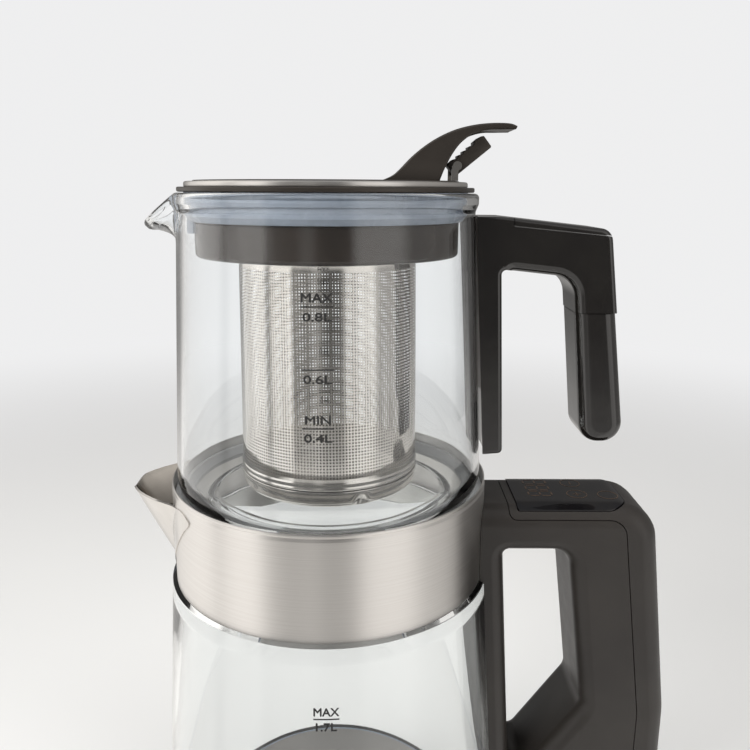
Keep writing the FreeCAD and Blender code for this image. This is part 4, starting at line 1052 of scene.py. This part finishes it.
def panelBlock(grow, low, high):
    bm = bmesh.new()
    bm.faces.new([bm.verts.new((p[0], p[1], low)) for p in panelPlan(grow)])
    thicken(bm, (0, 0, high - low))
    return bm


def makeKettleHandle(s):
    top = coverHigh.z
    half = coverHigh.y
    corners = [(c[0], top + c[1], *c[2:]) for c in s["outline"]]
    whole = thickOutline(roundedLine(corners, steps=10), half, s["outerRound"], 7, clamp=False)
    gap = s["glassGap"]
    foot, neck, above = 20, collarLow.z - 1.8, top + 20
    envelope = turnLine([Vector(p) for p in [
        (0, foot), (kettleRadius(foot) + gap, foot), (kettleRadius(neck) + gap, neck),
        (collarHigh.x + gap, collarLow.z), (collarHigh.x - 0.2 + gap, above), (0, above)]],
        closed=False, steps=256)
    opening = flaredCutter([(x, top + z, r) for x, z, r in s["opening"]], half, s["innerRound"])
    pocket = panelBlock(s["panelGap"], top - s["panelThick"] - 0.1, top + 12)
    path = [(x, top + z, *r) for x, z, *r in s["seamPath"]]
    path = roundedLine(path, closed=False, steps=8)
    seam = slab(ribbonOutline(path, s["seam"]), half + 2)
    room = Vector([s["partGap"]] * 3)
    inside = [boxOf(node) for node in ("control_board", "display_module", "touch_contacts")]
    hollows = [boxShape(low - room, high + room) for low, high in inside]
    parts = looseParts(carve(whole, envelope, opening, pocket, seam, *hollows))
    parts.sort(key=lambda part: sum(f.calc_area() for f in part.faces), reverse=True)
    print("kettle handle parts:", len(parts))
    addPiece("handle_shell_body", parts[0], "kettle", "handle_plastic", ["handle_shell"], even=True)
    addPiece("handle_cover_strip", parts[1], "kettle", "handle_plastic", ["handle_cover"], even=True)
    for part in parts[2:]:
        part.free()


def makePanel(s):
    top = panelHigh.z
    bm = panelBlock(0, top - s["panelThick"], top)
    cuts = [((0, k / 9 * s["panelHalf"], 0), (0, 1, 0)) for k in range(-9, 10)]
    cuts += [((x, 0, 0), (1, 0, 0)) for x in s["panelBend"]]
    for spot, normal in cuts:
        bmesh.ops.bisect_plane(bm, geom=bm.verts[:] + bm.edges[:] + bm.faces[:], plane_co=spot,
                               plane_no=normal)
    rim = [e for e in bm.edges
           if all(v.co.z > top - 0.01 for v in e.verts) and e.calc_face_angle(0) > 1.2]
    for v in bm.verts:
        v.co.z -= topDrop(v.co.x, v.co.y)
    roundEdges(bm, rim, s["panelRim"], 3, clamp=True)
    addPiece("touch_glass", bm, "kettle", "panel_black", ["touch_panel"], sharp=50)


makeKettleHandle(handleShape)
makePanel(handleShape)
print("kettle handle made")

# Teapot handle: arm, cap over it and grip, with open seams between them

potArmLow, potArmHigh = boxOf("teapot_handle")
potCapHigh = boxOf("teapot_handle_cap")[1]
potGripLow, potGripHigh = boxOf("teapot_grip")
potHandleShape = {
    "start": 52,         # inside the pot, cut away along the glass
    "stripTop": 66.6,
    "stripLow": 70.0,
    "reachTop": 107.4,
    "innerTop": 94.4,
    "innerLow": 101.3,
    "endRound": 7.8,
    "gripRound": 5.0,
    "endOut": 1.8,       # the rounded lower end stands back this much from its corner
    "endDrop": 4.5,      # the top edge falls this much towards its outer end
    "armThick": 19.6,
    "crookDrop": 3,      # the arm's lower edge falls this much towards the inner corner
    "crookRound": 9,
    "innerRound": 4.2,
    "innerStep": 1.4,    # the soft inner rim starts this much inside its own radius
    "innerInset": 0.12,
    "outerRound": 1.9,
    "capThick": 3.4,
    "capStart": 70.4,
    "padThick": 0.8,
    "seam": 0.3,
}


def makePotHandle(s):
    top, half = potCapHigh.z, potArmHigh.y
    tail, strip, seamZ = potGripLow.z, potArmLow.z, potGripHigh.z
    end, under = top - s["endDrop"], top - s["armThick"]
    reach = potGripHigh.x
    turn = (s["innerTop"], under - s["crookDrop"])
    slope = (s["innerLow"] - turn[0]) / (turn[1] - tail)
    starts = [turn, (s["reachTop"], end)]
    ends = [(s["innerLow"], tail), (reach + s["endOut"], tail)]

    def atHeight(side, z):
        (x0, z0), (x1, z1) = starts[side], ends[side]
        return x0 + (x1 - x0) * (z - z0) / (z1 - z0), z - s["seam"] / 2

    corners = [(s["start"], top), (s["stripTop"], top), (s["reachTop"], end, 5),
               (*ends[1], s["endRound"]), (*ends[0], s["endRound"]), (*turn, s["crookRound"]),
               (s["stripTop"], under, 1.8), (s["stripLow"], strip, 2), (s["start"], strip)]
    bm = slab(roundedLine(corners, steps=8), half)
    rims = rimEdges(bm, lambda middle, normal: middle.x > s["stripTop"] - 0.01)
    roundEdges(bm, rims, s["outerRound"], 4)
    near = s["innerRound"] - s["innerStep"]
    root = (s["stripTop"] + near, under - s["crookDrop"] * near / (turn[0] - s["stripTop"]))
    beyond = 10
    softCorners = [(s["stripLow"] + near, tail - beyond, 2),
                   (s["innerLow"] + slope * beyond, tail - beyond, 2),
                   (*turn, s["crookRound"]), (*root, 2)]
    softRim = flaredCutter(softCorners, half, s["innerRound"], inset=s["innerInset"])
    low, high = strip - 9, top + 9
    pad = s["padThick"]
    pot = turnLine([Vector(p) for p in [(0, low), (potRadius(low) + pad, low),
                                        (potRadius(high) + pad, high), (0, high)]],
                   closed=False, steps=288)
    capPath = roundedLine([(s["capStart"], top + 9), (s["capStart"], top - s["capThick"], 0.6),
                           (reach + 9, end - s["capThick"] - 0.8)], closed=False, steps=3)
    capSeam = slab(ribbonOutline(capPath, s["seam"]), half + 2)
    belowArm = boxShape((s["stripLow"] + 9, -half - 2, tail - 9),
                        (reach + 9, half + 2, seamZ + s["seam"] / 2))
    parts = looseParts(carve(bm, pot, softRim, capSeam, belowArm))
    print("teapot handle parts:", len(parts))
    capPart = max(parts, key=lambda part: min(v.co.z for v in part.verts))
    armPart = max((p for p in parts if p is not capPart), key=lambda part: len(part.verts))
    gripCorners = [atHeight(1, seamZ), (*ends[1], s["endRound"]), (*ends[0], s["endRound"]),
                   atHeight(0, seamZ)]
    grip = slab(roundedLine(gripCorners, steps=10), half)
    rims = rimEdges(grip, lambda middle, normal: middle.z < seamZ - s["seam"])
    roundEdges(grip, rims, s["gripRound"], 8)
    addPiece("pot_handle_cap", capPart, "teapot", "gloss_black", ["teapot_handle_cap"], even=True)
    addPiece("pot_handle_grip", grip, "teapot", "gloss_black", ["teapot_grip"], even=True)
    addPiece("pot_handle_arm", armPart, "teapot", "gloss_black", ["teapot_handle"], even=True)


makePotHandle(potHandleShape)
print("teapot handle made")

# Faint display digits and touch rings on the handle's panel

iconShape = {
    "lift": 0.02,
    "thick": 0.05,
    "digitHeight": 9.6,
    "digitWidth": 4.6,
    "digitStep": 6.2,
    "stroke": 0.75,
    "digitX": 88.0,
    "digitY": 3.0,
    "ringRadius": 4.3,
    "ringLine": 0.45,
    "rings": [(103.3, -3.8), (116.0, -4.6), (103.3, 8.2)],
    "signLength": 3.6,
    "signWidth": 0.5,
    "plusStep": 1.1,
    "plusArm": 1.6,
}


def addBar(bm, x, y, sizeX, sizeY):
    made = bmesh.ops.create_cube(bm, size=1)["verts"]
    bmesh.ops.scale(bm, vec=(sizeX, sizeY, iconShape["thick"]), verts=made)
    z = panelHigh.z + iconShape["lift"] + iconShape["thick"] / 2
    bmesh.ops.translate(bm, vec=(x, y, z), verts=made)
    ends = [e for e in bm.edges if all(v in made for v in e.verts)
            and abs(e.verts[0].co.z - e.verts[1].co.z) > 0.01]
    bmesh.ops.bevel(bm, geom=ends, offset=min(sizeX, sizeY) * 0.4, offset_type="OFFSET", segments=1,
                    profile=0.5, affect="EDGES", clamp_overlap=True, material=-1)


def makeDigits(s):
    bm = bmesh.new()
    h, w, t = s["digitHeight"], s["digitWidth"], s["stroke"]
    for column in (-1, 0, 1):
        y = s["digitY"] + column * s["digitStep"]
        for up in (-h / 2, 0, h / 2):
            addBar(bm, s["digitX"] + up, y, t, w - 2 * t)
        for up in (-h / 4, h / 4):
            for side in (-w / 2, w / 2):
                addBar(bm, s["digitX"] + up, y + side, h / 2 - 1.4 * t, t)
    for v in bm.verts:
        v.co.z -= topDrop(v.co.x, v.co.y)
    addPiece("display_digits", bm, "kettle", "panel_black", material=iconMaterial)


def makeRings(s):
    bm = bmesh.new()
    z = panelHigh.z + s["lift"]
    outer, inner = s["ringRadius"], s["ringRadius"] - s["ringLine"]
    for x, y in s["rings"]:
        ring = turnLine([Vector(p) for p in [(inner, z), (outer, z), (outer, z + s["thick"]),
                                             (inner, z + s["thick"])]], steps=64)
        bmesh.ops.translate(ring, vec=(x, y, 0), verts=ring.verts)
        joinIn(bm, ring)
    plus, dash = s["rings"][0], s["rings"][2]
    addBar(bm, *plus, s["signLength"], s["signWidth"])
    for step in (-s["plusStep"], s["plusStep"]):
        addBar(bm, plus[0], plus[1] + step, s["signWidth"], s["plusArm"])
    addBar(bm, *dash, s["signWidth"], s["signLength"])
    for v in bm.verts:
        v.co.z -= topDrop(v.co.x, v.co.y)
    addPiece("touch_rings", bm, "kettle", "panel_black", material=iconMaterial)


makeDigits(iconShape)
makeRings(iconShape)
print("marks and icons made")

# Floor, light and camera

stageShape = {
    "floorSize": 8.0,
    "floorColour": (0.80, 0.80, 0.79),
    "background": (0.86, 0.86, 0.865),
    "fadeFrom": 0.35,    # metres from the middle where the floor starts to turn into the backdrop
    "fadeTo": 1.5,
}


# True for light that has met nothing but glass on its way from the camera
def straightView(tree):
    path = addNode(tree, "LightPath")
    met = addNode(tree, "Math", [path.outputs["Glossy Depth"], path.outputs["Diffuse Depth"]],
                  operation="ADD")
    none = addNode(tree, "Math", [met.outputs["Value"], 0.5], operation="LESS_THAN")
    return none.outputs["Value"]


# Paper that fades into the backdrop and isn't seen by glossy light
def makeFloor(s):
    mat, tree, shader = startMaterial("floorPaper")
    colour = blendColours(tree, noiseField(tree, (3, 3, 3)), s["floorColour"],
                          tuple(c * 0.985 for c in s["floorColour"]))
    tree.links.new(colour, shader.inputs["Base Color"])
    setSockets(shader, {"Roughness": 0.7, "Specular IOR Level": 0.2})
    coords = addNode(tree, "TexCoord")
    reach = addNode(tree, "VectorMath", [coords.outputs["Object"]], operation="LENGTH")
    fade = spread(tree, reach.outputs["Value"], 0, 1, s["fadeFrom"], s["fadeTo"], "SMOOTHSTEP")
    amount = addNode(tree, "Math", [fade, straightView(tree)], operation="MULTIPLY")
    pale = addNode(tree, "Emission", {"Color": (*s["background"], 1)})
    paper = showMix(tree, amount.outputs["Value"], shader, pale)
    path = addNode(tree, "LightPath")
    mirrored = addNode(tree, "Math", [path.outputs["Glossy Depth"], 0.5], operation="GREATER_THAN")
    showMix(tree, mirrored.outputs["Value"], paper, addNode(tree, "BsdfTransparent"))
    bm = bmesh.new()
    bmesh.ops.create_grid(bm, x_segments=4, y_segments=4, size=s["floorSize"] / 2)
    mesh = bpy.data.meshes.new("floor")
    bm.to_mesh(mesh)
    bm.free()
    mesh.materials.append(mat)
    floor = bpy.data.objects.new("floor", mesh)
    floor.location.z = -0.0002
    bpy.context.scene.collection.objects.link(floor)


makeFloor(stageShape)


def makeLamp(name, place, target, size, power, tint=(1, 1, 1)):
    lamp = bpy.data.lights.new(name, "AREA")
    lamp.shape = "RECTANGLE"
    lamp.size, lamp.size_y = size
    lamp.energy = power
    lamp.color = tint
    holder = bpy.data.objects.new(name, lamp)
    holder.location = place
    holder.rotation_euler = (Vector(target) - Vector(place)).to_track_quat("-Z", "Y").to_euler()
    holder.visible_glossy = False
    holder.visible_transmission = False
    bpy.context.scene.collection.objects.link(holder)


middle = (0.01, 0, 0.25)
makeLamp("keyLamp", (-0.80, -0.75, 0.80), middle, (0.45, 0.9), 12, (1.0, 0.985, 0.96))
makeLamp("stripLamp", (0.80, -0.40, 0.35), middle, (0.28, 0.8), 3.0, (1.0, 0.97, 0.93))
makeLamp("topLamp", (0.0, -0.15, 1.20), middle, (0.8, 0.5), 7)

# The studio round the object as its shiny parts see it: azimuth share (0 behind, 0.5 in front,
# rising from the left to the right) with the brightness there
studioBands = [(0.0, 0.22), (0.10, 0.30), (0.135, 1.0), (0.26, 1.3), (0.285, 0.42), (0.305, 1.3),
               (0.37, 1.4), (0.39, 0.28), (0.44, 0.20), (0.47, 0.42), (0.50, 0.14), (0.55, 0.12),
               (0.58, 1.0), (0.66, 1.1), (0.70, 0.42), (0.80, 0.34), (0.90, 0.25), (1.0, 0.22)]


def makeWorld(s):
    world = bpy.data.worlds.new("studio")
    bpy.context.scene.world = world
    world.use_nodes = True
    tree = world.node_tree
    tree.nodes.clear()
    coords = addNode(tree, "TexCoord")
    split = addNode(tree, "SeparateXYZ", [coords.outputs["Generated"]])
    x, y, z = split.outputs
    flip = addNode(tree, "Math", [y, -1], operation="MULTIPLY")
    turn = addNode(tree, "Math", [x, flip.outputs["Value"]], operation="ARCTAN2")
    share = spread(tree, turn.outputs["Value"], 0, 1, -math.pi, math.pi)
    bands = addNode(tree, "ValToRGB", {"Fac": share})
    bands.color_ramp.interpolation = "EASE"
    stops = bands.color_ramp.elements
    for place, level in studioBands[1:-1]:
        stops.new(place)
    for stop, (place, level) in zip(stops, studioBands):
        stop.position = place
        stop.color = (level, level * 0.975, level * 0.95, 1)
    over = spread(tree, z, 0, 1, 0.62, 1.0, "SMOOTHSTEP")
    dome = addNode(tree, "Mix", {"Factor": over, "A": bands.outputs["Color"],
                                 "B": (0.42, 0.42, 0.43, 1)}, data_type="RGBA")
    under = spread(tree, z, 0, 0.6, -0.14, -0.42, "SMOOTHSTEP")
    table = addNode(tree, "Mix", {"Factor": under, "A": dome.outputs["Result"],
                                  "B": (1.15, 1.12, 1.08, 1)}, data_type="RGBA")
    diffuseRay = addNode(tree, "LightPath").outputs["Is Diffuse Ray"]
    studio = addNode(tree, "Background", {"Color": table.outputs["Result"],
                                          "Strength": spread(tree, diffuseRay, 1.0, 0.78, 0, 1)})

    behind = spread(tree, y, 0.30, 1.0, -0.2, 0.55, "SMOOTHSTEP")
    cameraRay = addNode(tree, "LightPath").outputs["Is Camera Ray"]
    level = addNode(tree, "Math", [cameraRay, behind], operation="MAXIMUM")
    pale = addNode(tree, "Background", {"Color": (*s["background"], 1),
                                        "Strength": level.outputs["Value"]})
    mix = addNode(tree, "MixShader", [straightView(tree), studio.outputs["Background"],
                                      pale.outputs["Background"]])
    addNode(tree, "OutputWorld", {"Surface": mix.outputs["Shader"]})


makeWorld(stageShape)

cameraShape = {"place": (0.0187, -0.297, 0.346), "lens": 36.05, "sensor": 36.0, "down": 13.9,
               "roll": 0.25}


def makeCamera(s):
    data = bpy.data.cameras.new("photoCamera")
    data.lens = s["lens"]
    data.sensor_width = s["sensor"]
    data.clip_start = 0.01
    camera = bpy.data.objects.new("photoCamera", data)
    turn = (Matrix.Rotation(math.radians(90 - s["down"]), 4, "X")
            @ Matrix.Rotation(math.radians(s["roll"]), 4, "Z"))
    camera.matrix_world = Matrix.Translation(s["place"]) @ turn
    bpy.context.scene.collection.objects.link(camera)
    bpy.context.scene.camera = camera


makeCamera(cameraShape)
bpy.context.scene.view_settings.view_transform = "Standard"
print("stage made")
